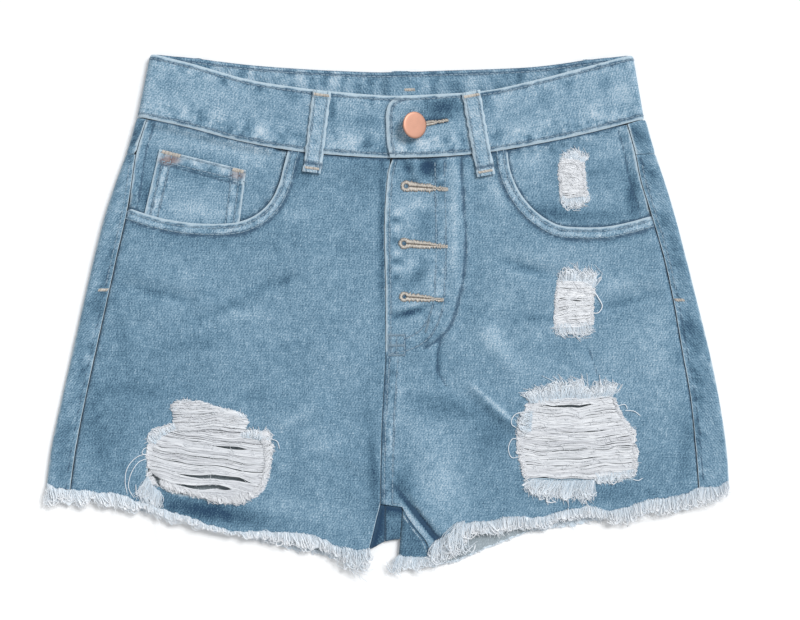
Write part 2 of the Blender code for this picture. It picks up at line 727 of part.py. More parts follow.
def rip_edge(name, out=0.0):
    """The hole's outline, clockwise from its upper left corner, moved out by a distance."""
    rows = HOLES[name]
    right = smooth([(y, x) for y, _, x in rows])
    left = smooth([(y, x) for y, x, _ in rows])
    y = np.linspace(rows[0][0], rows[-1][0], 7)
    right_side = [(float(right(v)) + out, v) for v in y]
    left_side = [(float(left(v)) - out, v) for v in y[::-1]]
    right_side[0] = (right_side[0][0], y[0] + out)
    right_side[-1] = (right_side[-1][0], y[-1] - out)
    left_side[0] = (left_side[0][0], y[-1] - out)
    left_side[-1] = (left_side[-1][0], y[0] + out)
    return right_side, left_side


def make_front_right():
    """The right front: pocket scoop, outseam, hem and the inner edge that laps at the middle."""
    shell = Shell()
    fly = curve(FLY_EDGE, EDGE_STEP) - (SEAM, 0)
    rise = curve(RISE_EDGE, EDGE_STEP) - (SEAM, 0)
    leg = curve(INNER_EDGE_RIGHT, 6)[1:]
    hem = curve(HEM_FRONT_RIGHT, EDGE_STEP)[::-1][1:-1]
    y = np.linspace(HEM_FRONT_RIGHT[0][1], 71.0, 19)
    outseam = np.column_stack([outseam_x(-1, y) + SEAM / 2, y])
    scoop = curve(SCOOP_RIGHT, 7)[::-1][1:-1]
    waist = waist_seam_line(-65.6, 2.2, SEAM)
    edge = np.vstack([waist, fly[1:], rise[1:], leg, hem, outseam, scoop])
    holes = [np.vstack(rip_edge("rip_threads_thigh_right"))]
    shell.plan(edge, right_front_height, cloth_under(right_front_height), FRONT_STEP, holes)
    shell.build("front_right", "washed_denim")


def make_front_left():
    """The left front: fly on top, rise seam, crotch, inseam, frayed hem, outseam and scoop."""
    shell = Shell()
    fly = curve(FLY_EDGE, EDGE_STEP)
    rise = curve(RISE_EDGE, EDGE_STEP)
    crotch = curve(CROTCH_EDGE, 7)[1:]
    inseam = curve(INSEAM_LEFT, 6)[1:]
    hem = curve(HEM_FRONT_LEFT, EDGE_STEP)[1:-1]
    y = np.linspace(HEM_FRONT_LEFT[-1][1], 67.0, 19)
    outseam = np.column_stack([outseam_x(1, y) - SEAM / 2, y])
    scoop = curve(SCOOP_LEFT, 7)[::-1][1:-1]
    waist = waist_seam_line(80.8, 4.0, SEAM)
    edge = np.vstack([waist, fly[1:], rise[1:], crotch, inseam, hem, outseam, scoop])
    holes = [np.vstack(rip_edge(name)) for name in ("rip_threads_thigh_left", "rip_threads_hip")]
    ridge = curve(FLY_RIDGE[1:-1], 7)
    lines = [offset(ridge, 1.0), offset(ridge, -1.0)]
    lines += [offset(deep_fold, -0.2), offset(deep_fold, 4.5)]
    for x in (FLY_RIDGE[0][0] - 1.0, FLY_RIDGE[0][0] + 1.0):
        lines.append(line([(x, 24.0), (x, 106.0)], 14))
    shell.plan(edge, left_front_height, cloth_under(left_front_height), FRONT_STEP, holes, lines)
    shell.build("front_left", "washed_denim")


def facing_height(side):
    """Face of a pocket facing: it rises to the seams around it and dips under the scoop."""
    scoop = curve(SCOOP_LEFT if side > 0 else SCOOP_RIGHT, 6)
    far = np.array([(side * 400, 72), (side * 400, 300), (scoop[0][0], 300)])
    opening = np.vstack([scoop, far])
    drop = POCKET_DROP_LEFT if side > 0 else POCKET_DROP_RIGHT

    def read(x, y):
        to_side = side * (outseam_x(side, y) - x)
        to_top = front_seam(foot_share(x)) - y
        near = np.maximum(ease(-to_side, -FACING_RISE, -1), ease(-to_top, -FACING_RISE, -1))
        rise = near * ease(depth_inside(x, y, opening), 4, 12)
        return front_face(y) - drop + (drop - 0.4) * rise

    return read


def make_facing(side):
    """The cloth behind a front pocket's opening."""
    shell = Shell()
    scoop = curve(SCOOP_LEFT if side > 0 else SCOOP_RIGHT, 9)
    lower = offset(scoop, -side * 12.0)
    seam_x = float(outseam_x(side, 58.0)) - side * (SEAM / 2 + 0.3)
    lower = [p for p in lower[1:] if side * p[0] < abs(seam_x) - 4]
    top_y = float(front_seam(foot_share(outseam_x(side, 130.0)))) - SEAM - 0.8
    y = np.linspace(60.0, top_y, 9)
    outseam = np.column_stack([outseam_x(side, y) - side * (SEAM / 2), y])
    end = scoop[0][0] - side * 12.0
    waist = waist_seam_line(side * 156.0, end, SEAM)
    edge = np.vstack([lower, outseam, waist])
    height = facing_height(side)
    holes = [np.vstack(rip_edge("rip_threads_pocket"))] if side > 0 else []
    beside = np.column_stack([outseam_x(side, y[2:-1]) - side * (FACING_RISE + 0.5), y[2:-1]])
    below = waist_seam_line(side * 152.0, end + side * 16.0, SEAM + FACING_RISE + 0.5)
    shell.plan(edge, height, cloth_under(height), FRONT_STEP, holes, [beside, below])
    shell.build("pocket_facing_left" if side > 0 else "pocket_facing_right", "washed_denim")


def make_coin_pocket():
    """The small pocket on the right facing, its foot tucked under the scoop."""
    shell = Shell()
    edge = line(list(COIN_POCKET) + [COIN_POCKET[0]], 12)[:-1]

    def height(x, y):
        return front_face(y) - POCKET_DROP_RIGHT + SEAM + CLOTH

    shell.plan(edge, height, cloth_under(height), 20)
    shell.build("coin_pocket", "washed_denim")


def waist_point(share, across, back):
    """A point of the waistband in plan, from its share of half width and share of height."""
    upper, lower = (back_top, back_seam) if back else (front_top, front_seam)
    x_top = WAIST_TOP[0] + WAIST_TOP[1] * share
    x_foot = WAIST_FOOT[0] + WAIST_FOOT[1] * share
    y_top, y_foot = float(upper(share)), float(lower(share))
    return x_top + (x_foot - x_top) * across, y_top + (y_foot - y_top) * across


def waist_rows():
    return [i / 4 for i in range(5)]


def waist_wrap(shell, side):
    """The waistband round one side fold, and its first column under and over the shorts."""
    radius = WAISTBAND_TOP / 2
    start = side * FOLD_SHARE
    outer, inner = [], []
    for across in waist_rows():
        under = waist_point(start, across, True)
        over = waist_point(start, across, False)
        outer_row, inner_row = [], []
        for step in range(ARC_STEPS + 1):
            turn = math.pi * step / ARC_STEPS
            share = step / ARC_STEPS
            x = under[0] + (over[0] - under[0]) * share
            y = under[1] + (over[1] - under[1]) * share
            small = radius - BAND
            outer_row.append((x + side * radius * math.sin(turn), y, radius - radius * math.cos(turn)))
            inner_row.append((x + side * small * math.sin(turn), y, radius - small * math.cos(turn)))
        outer.append(outer_row)
        inner.append(inner_row)
    shell.grid(outer, inner)
    return [row[0][:2] for row in outer], [row[-1][:2] for row in outer]


def band_rows(start, end, upper, lower, step):
    """Upper and lower edges of a stretch of waistband, without its ends."""
    shares = np.linspace(start, end, max(3, round(abs(end - start) * WAIST_TOP[1] / step) + 1))[1:-1]
    if upper is back_top:
        shares = foot_share(beside_loops(WAIST_FOOT[0] + WAIST_FOOT[1] * shares))
    top_row = [(WAIST_TOP[0] + WAIST_TOP[1] * u, float(upper(u))) for u in shares]
    foot_row = [(WAIST_FOOT[0] + WAIST_FOOT[1] * u, float(lower(u))) for u in shares]
    return top_row, foot_row


def buttonhole_edge():
    """A keyhole: a round eye round the shank and a narrow slit away from the tab's end."""
    eye, end = (np.array(point) for point in BUTTONHOLE)
    length = float(np.hypot(*(end - eye)))
    along = (end - eye) / length
    across = np.array([-along[1], along[0]])
    mouth = math.asin(SLIT_HALF / EYE_RADIUS)
    turns = np.linspace(mouth, 2 * math.pi - mouth, 11)
    rim = [(EYE_RADIUS * math.cos(t), EYE_RADIUS * math.sin(t)) for t in turns]
    rim += [(length, -SLIT_HALF), (length, SLIT_HALF)]
    return np.array([eye + along * a + across * b for a, b in rim])


def make_waistband():
    """One strip round the waist: the back lies lowest, and the left end laps over the right."""
    shell = Shell()
    under_right, over_right = waist_wrap(shell, -1)
    under_left, over_left = waist_wrap(shell, 1)
    start = FOLD_SHARE
    top_row, foot_row = band_rows(-start, start, back_top, back_seam, 11)
    edge = under_right + foot_row + under_left[::-1] + top_row[::-1]
    outer = back_lift
    shell.plan(edge, outer, lambda x, y: outer(x, y) + BAND, 12, lines=band_lines())

    def right_face(x, y):
        return waistband_height(x, y, -1)

    def left_face(x, y):
        return waistband_height(x, y, 1)

    top_row, foot_row = band_rows(-start, 0.2, front_top, front_seam, 11)
    close = [(UNDERLAP_END, y) for y in (107.9, 118.0, 128.0, 140.0, 150.2)]
    edge = over_right + foot_row + close + top_row[::-1]
    dips = [line([(x, 112.0), (x, 146.0)], 12) for x in (-12.0, -3.0)]
    shell.plan(edge, right_face, lambda x, y: right_face(x, y) - BAND, 12, lines=dips)
    top_row, foot_row = band_rows(start, 0.08, front_top, front_seam, 11)
    edge = over_left + foot_row + list(TAB_END[::-1]) + top_row[::-1]
    dips = [line([(x, 112.0), (x, 147.0)], 12) for x in (42.5, 56.0)]
    hole = buttonhole_edge()
    shell.plan(edge, left_face, lambda x, y: left_face(x, y) - BAND, 12, [hole], dips)
    shell.build("waistband", "washed_denim")


def band_lines():
    """Lines where the back of the waistband steps over the belt loops."""
    runs = []
    for middle, _, _ in back_loops:
        for out in (1.4, 8.0):
            for side in (-1, 1):
                x = middle + side * (LOOP_WIDTH / 2 + out)
                low = float(back_seam(foot_share(x))) + 1.5
                high = float(back_top(foot_share(x))) - 1.5
                runs.append(line([(x, low), (x, high)], 14))
    return runs


def front_surface(x, y):
    """Height of what a front belt loop lies on."""
    on_band = waistband_height(x, y, 1 if x > 20 else -1)
    on_front = left_front_height(x, y) if x > 0 else right_front_height(x, y)
    return float(on_band if y > front_seam(foot_share(x)) else on_front)


def make_front_loop(name, top, foot):
    """A belt loop sewn down at both ends, with its ends folded under and the rest just clear."""
    top, foot = np.array(top), np.array(foot)
    length = float(np.hypot(*(foot - top)))
    along = (foot - top) / length
    across = np.array([-along[1], along[0]])
    # distance from the top end, clear space under it, thickness
    profile = (
        (0.0, REST, 1.9), (1.0, REST, 2.4), (3.6, REST, 2.4), (5.0, 0.9, 1.6),
        (length * 0.3, 1.0, 1.5), (length * 0.6, 1.0, 1.5), (length - 13.5, 1.0, 1.5),
        (length - 5.0, 0.9, 1.6), (length - 3.6, REST, 2.4), (length - 1.0, REST, 2.4),
        (length, REST, 1.9),
    )
    outer, inner = [], []
    for distance, clear, thick in profile:
        outer_row, inner_row = [], []
        for side in (-1.0, -0.86, 0.86, 1.0):
            x, y = top + along * distance + across * side * LOOP_WIDTH / 2
            middle = top + along * distance
            base = max(front_surface(x, y), front_surface(*middle)) + clear
            crown = thick if abs(side) < 1 else thick * 0.7
            outer_row.append((x, y, base + crown))
            inner_row.append((x, y, base))
        outer.append(outer_row)
        inner.append(inner_row)
    shell = Shell()
    shell.grid(outer, inner)
    shell.build(name, "washed_denim")


def make_back_loop(name, middle, top, foot):
    """A belt loop flat on the surface under the back."""
    shell = Shell()
    rows = [top, top - 4, (top + foot) / 2, foot + 4, foot]
    outer = [[(middle + s * LOOP_WIDTH / 2, y, 0.0) for s in (-1, 1)] for y in rows]
    inner = [[(middle + s * LOOP_WIDTH / 2, y, CLOTH) for s in (-1, 1)] for y in rows]
    shell.grid(outer, inner)
    shell.build(name, "washed_denim")


def make_button():
    """A domed cap on a shank, turned from a profile and tilted with its right rim low."""
    radius = BUTTON_ACROSS / 2
    right_rim = radius * math.sin(BUTTON_TILT)
    cap_z = TAB_TOP + BUTTON_CLEAR + right_rim
    shank = (cap_z - UNDERLAP_TOP - 1.4) / math.cos(BUTTON_TILT)
    half = SHANK_ACROSS / 2
    # radius, height along the shank from the cap's under face
    profile = (
        (0.0, -shank), (half, -shank), (half, -0.5), (radius * 0.82, -0.2), (radius * 0.97, 0.1),
        (radius, 0.7), (radius * 0.96, 1.4), (radius * 0.8, 1.8), (radius * 0.4, 2.05), (0.0, 2.1),
    )
    mesh = bmesh.new()
    ring = [mesh.verts.new((r * MM, 0, h * MM)) for r, h in profile]
    edges = [mesh.edges.new(pair) for pair in zip(ring[:-1], ring[1:])]
    bmesh.ops.spin(mesh, geom=ring + edges, axis=(0, 0, 1), angle=2 * math.pi, steps=24)
    bmesh.ops.remove_doubles(mesh, verts=mesh.verts, dist=1e-6)
    made = add_object("button", mesh, "plated_copper")
    made.location = placed((*BUTTON_AT, cap_z))
    made.rotation_euler = (0, BUTTON_TILT, 0)
    made.data.shade_smooth()
    made.data.set_sharp_from_angle(angle=math.radians(50))


def tooth(root, tip, width):
    """A strand with a narrowing end, as four points from one side of its root to the other."""
    root, tip = np.array(root), np.array(tip)
    ahead = (tip - root) / np.hypot(*(tip - root))
    across = np.array([-ahead[1], ahead[0]])
    half, end = across * width / 2, across * width * 0.2
    return [root + half, tip + end, tip - end, root - half]


def make_fringe(name):
    """Strands along a hem, their roots fused in a narrow strip beside the cloth's raw edge."""
    hem, count, shortest, longest = FRINGES[name]
    rng = random.Random(name)
    lower = name.startswith("fringe_back")
    near = offset(curve(hem, 7), -SEAM - 0.1)
    far = offset(curve(hem, 3), -SEAM - FRINGE_BACKING)
    along = np.concatenate([[0], np.cumsum(np.hypot(*np.diff(far, axis=0).T))])
    outward = offset(far, -1.0) - far
    pitch = along[-1] / count
    teeth = []
    for i in range(count):
        at = pitch * (i + 0.5)
        root = np.array([np.interp(at, along, far[:, 0]), np.interp(at, along, far[:, 1])])
        away = np.array([np.interp(at, along, outward[:, 0]), np.interp(at, along, outward[:, 1])])
        hang = away / np.hypot(*away) + (0.0, -FRINGE_HANG)
        hang = hang / np.hypot(*hang)
        width = pitch * 0.66 * max(0.35, float(hang @ away) / float(np.hypot(*away)))
        sideways = np.array([-hang[1], hang[0]]) * rng.uniform(-FRINGE_LEAN, FRINGE_LEAN)
        length = rng.uniform(shortest, longest)
        teeth += tooth(root, root + (hang + sideways) * length, width)[::-1]
    edge = np.array([tuple(p) for p in near[::-1]] + [tuple(p) for p in teeth])

    def face(x, y):
        if lower:
            return np.full(np.shape(x), BACK_FRINGE_FLOOR + FRINGE_THICK)
        if name == "fringe_leg_fold":
            return np.full(np.shape(x), LEG_FOLD_TOP - 0.2)
        height = left_front_height if "left" in name else right_front_height
        return height(x, y) - 0.2

    shell = Shell()
    shell.plan(edge, face, lambda x, y: face(x, y) - FRINGE_THICK, 500)
    shell.build(name, "cotton_thread")


def make_rip(name):
    """White threads across a rip: a narrow ring on the cloth, rungs across it and frayed tufts."""
    strands, above, below, slope, wide = RIPS[name]
    rng = random.Random(name)
    right_side, left_side = rip_edge(name, RING)
    rows = HOLES[name]
    left = smooth([(y, x) for y, x, _ in rows])
    right = smooth([(y, x) for y, _, x in rows])
    upper, lower = rows[0][0], rows[-1][0]
    edge = []
    top_left, top_right = left_side[-1], right_side[0]
    foot_left, foot_right = left_side[0], right_side[-1]
    edge += tuft_row(top_left, top_right, above, RIP_REACH, rng)
    edge += right_side[1:-1]
    edge += tuft_row(foot_right, foot_left, below, RIP_REACH, rng)
    edge += left_side[1:-1]
    gaps = [WIDE_GAP if i in wide else GAP for i in range(strands - 1)]
    thread = (upper - lower - sum(gaps)) / strands
    holes = []
    y = upper
    for gap in gaps:
        y -= thread
        middle = y - gap / 2
        ax, bx = float(left(middle)) + RING, float(right(middle)) - RING
        cx = (ax + bx) / 2
        lean = slope * (bx - ax) / 2
        lean = max(-thread * 0.9, min(thread * 0.9, lean))
        wave = rng.uniform(-0.2, 0.2)
        holes.append([
            (ax, y - lean * 0.4), (cx, y + wave), (bx, y + lean * 0.4),
            (bx, y - gap + lean * 0.4), (cx, y - gap + wave), (ax, y - gap - lean * 0.4),
        ])
        y -= gap
    ground = facing_height(1) if name == "rip_threads_pocket" else left_front_height
    if name == "rip_threads_thigh_right":
        ground = right_front_height
    outline = np.vstack(rip_edge(name))

    def base(x, y):
        return ground(x, y) + REST + 0.8 * ease(depth_inside(x, y, outline), 1, 12)

    shell = Shell()
    holes = [np.array(hole) for hole in holes]
    shell.plan(np.array(edge), lambda x, y: base(x, y) + FRINGE_THICK, base, 500, holes)
    shell.build(name, "cotton_thread")


def tuft_row(start, end, count, reach, rng):
    """One edge of the ring, with frayed tufts standing out to the left of its direction."""
    start, end = np.array(start), np.array(end)
    step = (end - start) / count
    outward = np.array([-step[1], step[0]]) / np.hypot(*step)
    points = [tuple(start)]
    for i in range(count):
        root = start + step * (i + 0.5)
        lean = step / np.hypot(*step) * rng.uniform(-0.2, 0.2)
        tip = root + (outward + lean) * reach * rng.uniform(0.6, 1.0)
        points += [tuple(p) for p in tooth(root, tip, np.hypot(*step) * 0.7)]
    points.append(tuple(end))
    return points


for old in list(bpy.data.objects):
    bpy.data.objects.remove(old, do_unlink=True)

materials = {name: finish_material(name, *values) for name, values in FINISHES.items()}
garment = bpy.data.objects.new("denim_shorts", None)
bpy.context.scene.collection.objects.link(garment)

make_waistband()
for wearer_side in (-1, 1):
    make_yoke(wearer_side)
    make_back(wearer_side)
    make_back_pocket(wearer_side)
    make_facing(wearer_side)
make_front_right()
make_front_left()
make_coin_pocket()
make_front_loop("belt_loop_front_right", (-43.9, 152.0), (-51.0, 96.6))
make_front_loop("belt_loop_front_left", (56.8, 151.4), (67.3, 94.5))
for place, loop in zip(("right", "middle", "left"), back_loops):
    make_back_loop("belt_loop_back_" + place, *loop)
make_button()
for rip_name in RIPS:
    make_rip(rip_name)
for fringe_name in FRINGES:
    make_fringe(fringe_name)
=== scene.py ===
"""Dresses the laid denim shorts: worn shells of cloth, loose threads, frayed hems, stitching and the button.

Lengths are in millimetres until a mesh is written. X runs to the wearer's left, Y up to the waist and
Z up from the surface under the shorts. Left and right are the wearer's. A table's columns are named
above it. A cut piece has its own flat coordinates u and v, and its place function bends them into the
laid form.
"""

import math

import bpy
import numpy as np
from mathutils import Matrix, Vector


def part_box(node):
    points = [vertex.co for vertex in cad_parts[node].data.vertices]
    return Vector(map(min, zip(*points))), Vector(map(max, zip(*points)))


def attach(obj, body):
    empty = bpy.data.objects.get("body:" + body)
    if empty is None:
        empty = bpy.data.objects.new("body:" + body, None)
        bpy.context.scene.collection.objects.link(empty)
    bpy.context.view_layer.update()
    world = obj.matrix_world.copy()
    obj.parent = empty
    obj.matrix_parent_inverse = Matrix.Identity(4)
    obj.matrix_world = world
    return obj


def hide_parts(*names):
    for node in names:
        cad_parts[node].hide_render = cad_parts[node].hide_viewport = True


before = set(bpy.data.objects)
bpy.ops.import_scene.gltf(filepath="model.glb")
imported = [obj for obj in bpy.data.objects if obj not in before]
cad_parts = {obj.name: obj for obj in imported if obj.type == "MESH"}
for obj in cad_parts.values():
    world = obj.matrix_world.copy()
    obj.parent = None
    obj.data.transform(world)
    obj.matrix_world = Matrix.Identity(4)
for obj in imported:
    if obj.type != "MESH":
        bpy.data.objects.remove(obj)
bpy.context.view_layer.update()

bl_info = {
    "name": "Laid denim shorts",
    "version": (1, 0, 0),
    "blender": (4, 5, 0),
    "location": "3D View > Sidebar > Shorts",
    "description": "Builds ripped denim shorts laid flat, from cloth shells, threads and stitches",
    "category": "Add Mesh",
}

MM = 0.001
MIDDLE = np.array([0.53, 0.04, 0])
FAR = 60.0

# Heights of the laid pieces above the surface, as in the solids
WAISTBAND_TOP = 8.0
TAB_TOP = 9.7
UNDERLAP_TOP = 7.1
SEAT_FOLD_TOP = 3.9
LEG_FOLD_TOP = 5.4
FLY_LIFT = 0.9
LIP_LIFT = 0.6
DEEP_FOLD_LIFT = 2.6
BACK_LIFT = 1.6
POCKET_DROP = {-1: 3, 1: 1.5}
FACING_RISE = 7.0
SEAM = 0.3
TACK_PITCH = 0.42
SEAT_REACH = {-1: 13.0, 1: 8.8}
RUST = "#8a6554"
# About one and a half times the real spacing of the twill lines
TWILL_STEP = 1.5

BUTTON_AT = (18.4, 128.2)
BUTTON_TILT = math.radians(30)
BAND_HEIGHT = 42.0
LOOP_WIDTH = 12.6
UNDERLAP_END = 36.0
TAB_END = ((11, 149.1), (4.6, 146.6), (0.9, 142.6), (-0.4, 138), (-0.5, 127), (0.2, 116), (2.2, 107.2))

# y, wearer's right outline, right outseam, left outseam, left outline
SIDES = (
    (135, -170, -162.5, 161.8, 175.4), (109, -177.8, -170.7, 169, 182.9), (92, -184, -173.2, 172.4, 188.6),
    (73, -190.4, -176.1, 178.2, 194.5), (40, -199.2, -183.6, 188, 203.3), (8, -206.7, -190.7, 195.2, 211.5),
    (-25, -214.2, -198.2, 200.9, 219.6), (-58, -221.7, -205.4, 206.7, 226.4),
    (-90, -228.5, -211.5, 210.1, 231.2), (-125, -233, -216.4, 212.8, 233.6),
)

# share of half width, back top edge, front top edge, front seam, back seam
WAIST = (
    (-1, 178, 177.8, 135, 135), (-0.8, 174.5, 169.5, 127.5, 130.5), (-0.6, 170.6, 160.2, 118.4, 127),
    (-0.4, 168, 154.8, 112, 124.5), (-0.2, 166.3, 151.2, 108.5, 123), (0, 165.4, 149, 106.8, 122.4),
    (0.2, 166.6, 149.9, 107.6, 123), (0.4, 167.6, 152.6, 111, 124.5), (0.6, 169.3, 159.8, 117, 127),
    (0.8, 173.5, 168.4, 124.5, 130.5), (1, 177.3, 177, 133.6, 133.6),
)
WAIST_TOP = (3.2, 164.3)
WAIST_FOOT = (2.6, 172.6)
WAIST_RADIUS = WAISTBAND_TOP / 2
WAIST_FLAT = WAIST_TOP[1] - WAIST_RADIUS

# y, height of the front's face
THICKNESS = ((180, 7.8), (110, 7.6), (60, 7.4), (15, 6.4), (-40, 5.8), (-180, 5.6))

# Edges of the pieces as points of x, y
FLY_EDGE = ((3.1, 105.4), (1.1, 97.5), (-0.3, 85), (-0.7, 10.2), (-0.6, -24))
RISE_EDGE = ((-0.6, -27.2), (-3.4, -77.5), (-4.1, -105.4), (-4.3, -128.5))
CROTCH_EDGE = ((-4.3, -128.5), (3, -129.6), (10.2, -130.6))
INSEAM_LEFT = ((10.2, -130.6), (13, -135.6), (19.5, -145), (27.2, -155), (29.9, -163.9))
INNER_EDGE_RIGHT = ((-4.6, -128.8), (-7.4, -139.4), (-10, -150.3), (-12.5, -160.2))
SCOOPS = {
    -1: (
        (-66.6, 114), (-70, 101.3), (-73, 89.8), (-78.5, 78.2), (-87.9, 68.7), (-99.6, 63.5), (-115.2, 61.9),
        (-134.7, 62.7), (-158.2, 67), (-176, 72.8),
    ),
    1: (
        (81.6, 113.2), (83.6, 98.6), (90.4, 83), (104, 68), (116.3, 61.2), (132.6, 59.5), (148.9, 60),
        (165.2, 63.2), (179.4, 67.3),
    ),
}
HEM_FRONT_RIGHT = (
    (-215.8, -118.6), (-205, -121.4), (-191, -123), (-181.6, -123), (-172, -127.8), (-154, -132.6),
    (-143.5, -136.6), (-134, -139.4), (-124.4, -143.2), (-115, -145.9), (-105.4, -148.2), (-96, -148.8),
    (-86.4, -148.4), (-76.8, -148.4), (-67.3, -149.6), (-57.8, -150.2), (-48.3, -152), (-38.8, -156.8),
    (-29.2, -160.2), (-19.7, -161.4), (-12.5, -160.6),
)
HEM_FRONT_LEFT = (
    (29.9, -163.9), (32, -155.8), (37, -153), (43.4, -150.8), (44.7, -145.6), (49, -143.6), (56.4, -142),
    (70, -141.6), (84, -138.4), (90, -138), (97.2, -139.4), (108, -138), (118, -135.2), (132.6, -132.8),
    (140, -132.4), (147, -133.8), (158.4, -133), (165, -132), (172, -129.2), (185.6, -126.2), (192, -126),
    (205, -122.2), (212, -118),
)
HEM_BACK = {
    -1: (
        (-14.3, -161.2), (-32, -162.9), (-52.4, -159.8), (-72.8, -155), (-93.2, -149.6), (-113.6, -144.2),
        (-134, -138), (-154.4, -133.3), (-174.8, -129.2), (-195.2, -123.8), (-215.6, -120.4), (-231, -117.6),
    ),
    1: (
        (10.6, -165.6), (27.9, -168.4), (42.8, -168.6), (60.5, -161.8), (76.8, -155), (95.2, -148.2),
        (117.6, -141.8), (151.6, -136), (185.6, -130.4), (212.8, -124.4), (232, -118.6),
    ),
}
SEAT_FOLD = ((-14, -160.6), (-9, -158.6), (-3.4, -155.4), (3, -153.6), (8.6, -153))
LEG_FOLD = ((10.6, -131.6), (8.9, -153), (7.9, -164.9))
SEAT_SEAM = ((-160, -1.4), (-120, -1.4), (125, 8.5))
SEAT_TURN_END = -126.0
YOKE_MIDDLE_Y = 72.0
YOKE_SIDE_Y = 110.0
BACK_LOOP_X = (-133, 9.5, 140)
DEEP_FOLD = ((2, -106), (8, -118.5), (15.6, -129.2), (25.8, -142.8), (37, -154))
FLY_RIDGE = (
    (50.3, 112), (50.3, 17), (47.6, 6), (42.2, -8.8), (34.7, -17), (25.2, -22.5), (12, -25.6), (-2, -26.6),
)
FLY_TAIL = ((36.6, -15), (34.6, -26), (34.2, -38), (40, -48))
COIN_POCKET = ((-154.6, 112.7), (-95.7, 98.3), (-101, 57.5), (-166.4, 62.5))
BACK_POCKET = ((34, 66), (148, 82), (146, -30), (92, -56), (38, -42))
LOOPS = {
    "belt_loop_front_right": ((-43.9, 152), (-51, 96.6)),
    "belt_loop_front_left": ((56.8, 151.4), (67.3, 94.5)),
}

# y, left edge, right edge of each hole worn through the cloth
HOLES = {
    "rip_threads_thigh_right": (
        (-69, -141, -99), (-73, -143, -98), (-77, -143, -98), (-81, -151, -89), (-86, -159.5, -81),
        (-98, -162, -79), (-108, -162, -81), (-115, -157, -85), (-120.5, -144, -90), (-125, -124, -97),
    ),
    "rip_threads_thigh_left": (
        (-55, 101, 152), (-66, 97, 156), (-77, 92, 165), (-90, 90, 168), (-103, 92, 169), (-111, 96, 166),
    ),
    "rip_threads_hip": ((24, 117, 140), (8, 115, 139), (-9, 115, 139)),
    "rip_threads_pocket": ((107, 119, 131), (94, 119, 132), (79, 121, 135)),
}

# The same for the flap of threads above the right thigh's rip
FLAP = (
    (-59, -141, -131), (-62, -145, -121), (-65, -145, -103), (-69, -144, -96), (-74, -143.5, -97),
    (-80, -142, -99),
)

# x and y of one end, x and y of the other, half width, height
FOLDS = (
    (-177, 20, -136, 11, 5, -0.9), (-172, 29, -128, 22, 7, 0.5), (-110, 15, -80, 22, 7, -0.6),
    (-174, -47, -98, -51, 13, -0.5), (-75, -70, -48, -62, 8, 0.6), (-60, 60, -30, -30, 20, 0.6),
    (79, 37, 116, 27, 5, -0.9), (93, 0, 113, 3, 6, -0.6), (151, 6, 177, 15, 6, -0.8),
    (148, 18, 180, 26, 7, 0.7), (59, -49, 86, -75, 4, 1), (56, -56, 80, -80, 6, -0.7),
    (37, -20, 45, -52, 6, -0.6), (137, -22, 143, -40, 4, -0.5),
)
# The same for smaller creases that only the shell has
CREASES = (
    (-196, -12, -168, -6, 4, -0.45), (-205, -70, -180, -62, 5, 0.4), (-60, 92, -20, 88, 5, -0.4),
    (-48, -20, -20, -34, 6, 0.35), (-40, -92, -12, -104, 5, 0.45), (-38, -101, -12, -114, 4, -0.4),
    (12, 40, 31, 46, 5, -0.45), (8, 66, 24, 60, 5, 0.4), (10, 28, 30, 34, 4, 0.4), (4, -1, 26, 5, 2.6, -0.9),
    (6, 4, 28, 10, 2.6, 0.6), (12, 104, 17, 88, 2.4, -0.8), (18, 106, 21, 94, 2.4, 0.6),
    (26, 106, 30, 92, 3.4, -0.9), (34, 104, 38, 86, 3, 0.6), (3, 64.6, 9, 64.6, 2, -0.4),
    (3, 50, 10, 50, 2.4, -0.4), (3, 36.4, 9, 36.4, 2, -0.4), (24, 34, 18, 20, 3, -0.6),
    (45.6, 100, 45.6, 16, 3, 0.5), (-70, -75, -48, -62, 3.4, 0.6), (-62, -84, -42, -72, 3, 0.5),
    (-130, -2, -90, 10, 4, -0.5), (-88, 18, -66, 26, 3.6, -0.6), (64, -8, 84, -34, 7, 0.9),
    (20, -70, 36, -118, 12, 0.8), (86, 35, 112, 28, 3, -0.4), (58, 70, 74, 62, 5, -0.4),
    (150, -50, 200, -58, 7, 0.4), (186, -84, 205, -88, 5, -0.4),
)
# The same for the hidden back
BACK_CREASES = (
    (-150, 40, -60, 20, 9, 0.9), (60, -70, 170, -90, 10, 0.8), (-40, -110, -150, -95, 9, 0.8),
    (20, 60, 26, -60, 8, 0.6), (160, 60, 185, -20, 7, 0.7), (-180, 30, -195, -60, 7, 0.7),
)


def smooth(rows):
    """A function through rows of place and value: a cubic between each two, with one slope at every row."""
    place, value = (np.array(column, float) for column in zip(*sorted(rows)))
    slope = np.gradient(value, place)

    def read(at):
        at = np.clip(np.asarray(at, float), place[0], place[-1])
        i = np.clip(np.searchsorted(place, at) - 1, 0, len(place) - 2)
        gap = place[i + 1] - place[i]
        t = (at - place[i]) / gap
        ends = value[i] * (2 * t**3 - 3 * t**2 + 1) + value[i + 1] * (3 * t**2 - 2 * t**3)
        return ends + gap * (slope[i] * (t**3 - 2 * t**2 + t) + slope[i + 1] * (t**3 - t**2))

    return read


def pairs(x, y):
    """Points from their two coordinates, either of which may be one number."""
    return np.column_stack(np.broadcast_arrays(x, y))


def closed(ring):
    """The ring as a line that ends where it starts."""
    return np.vstack([ring, ring[:1]])


def lengths(points):
    """How far along a line each of its points is."""
    return np.concatenate([[0], np.cumsum(np.hypot(*np.diff(points, axis=0).T))])


def lattice(low, high, step):
    """Places about a step apart from one end to the other."""
    return np.linspace(low, high, max(2, round((high - low) / step) + 1))


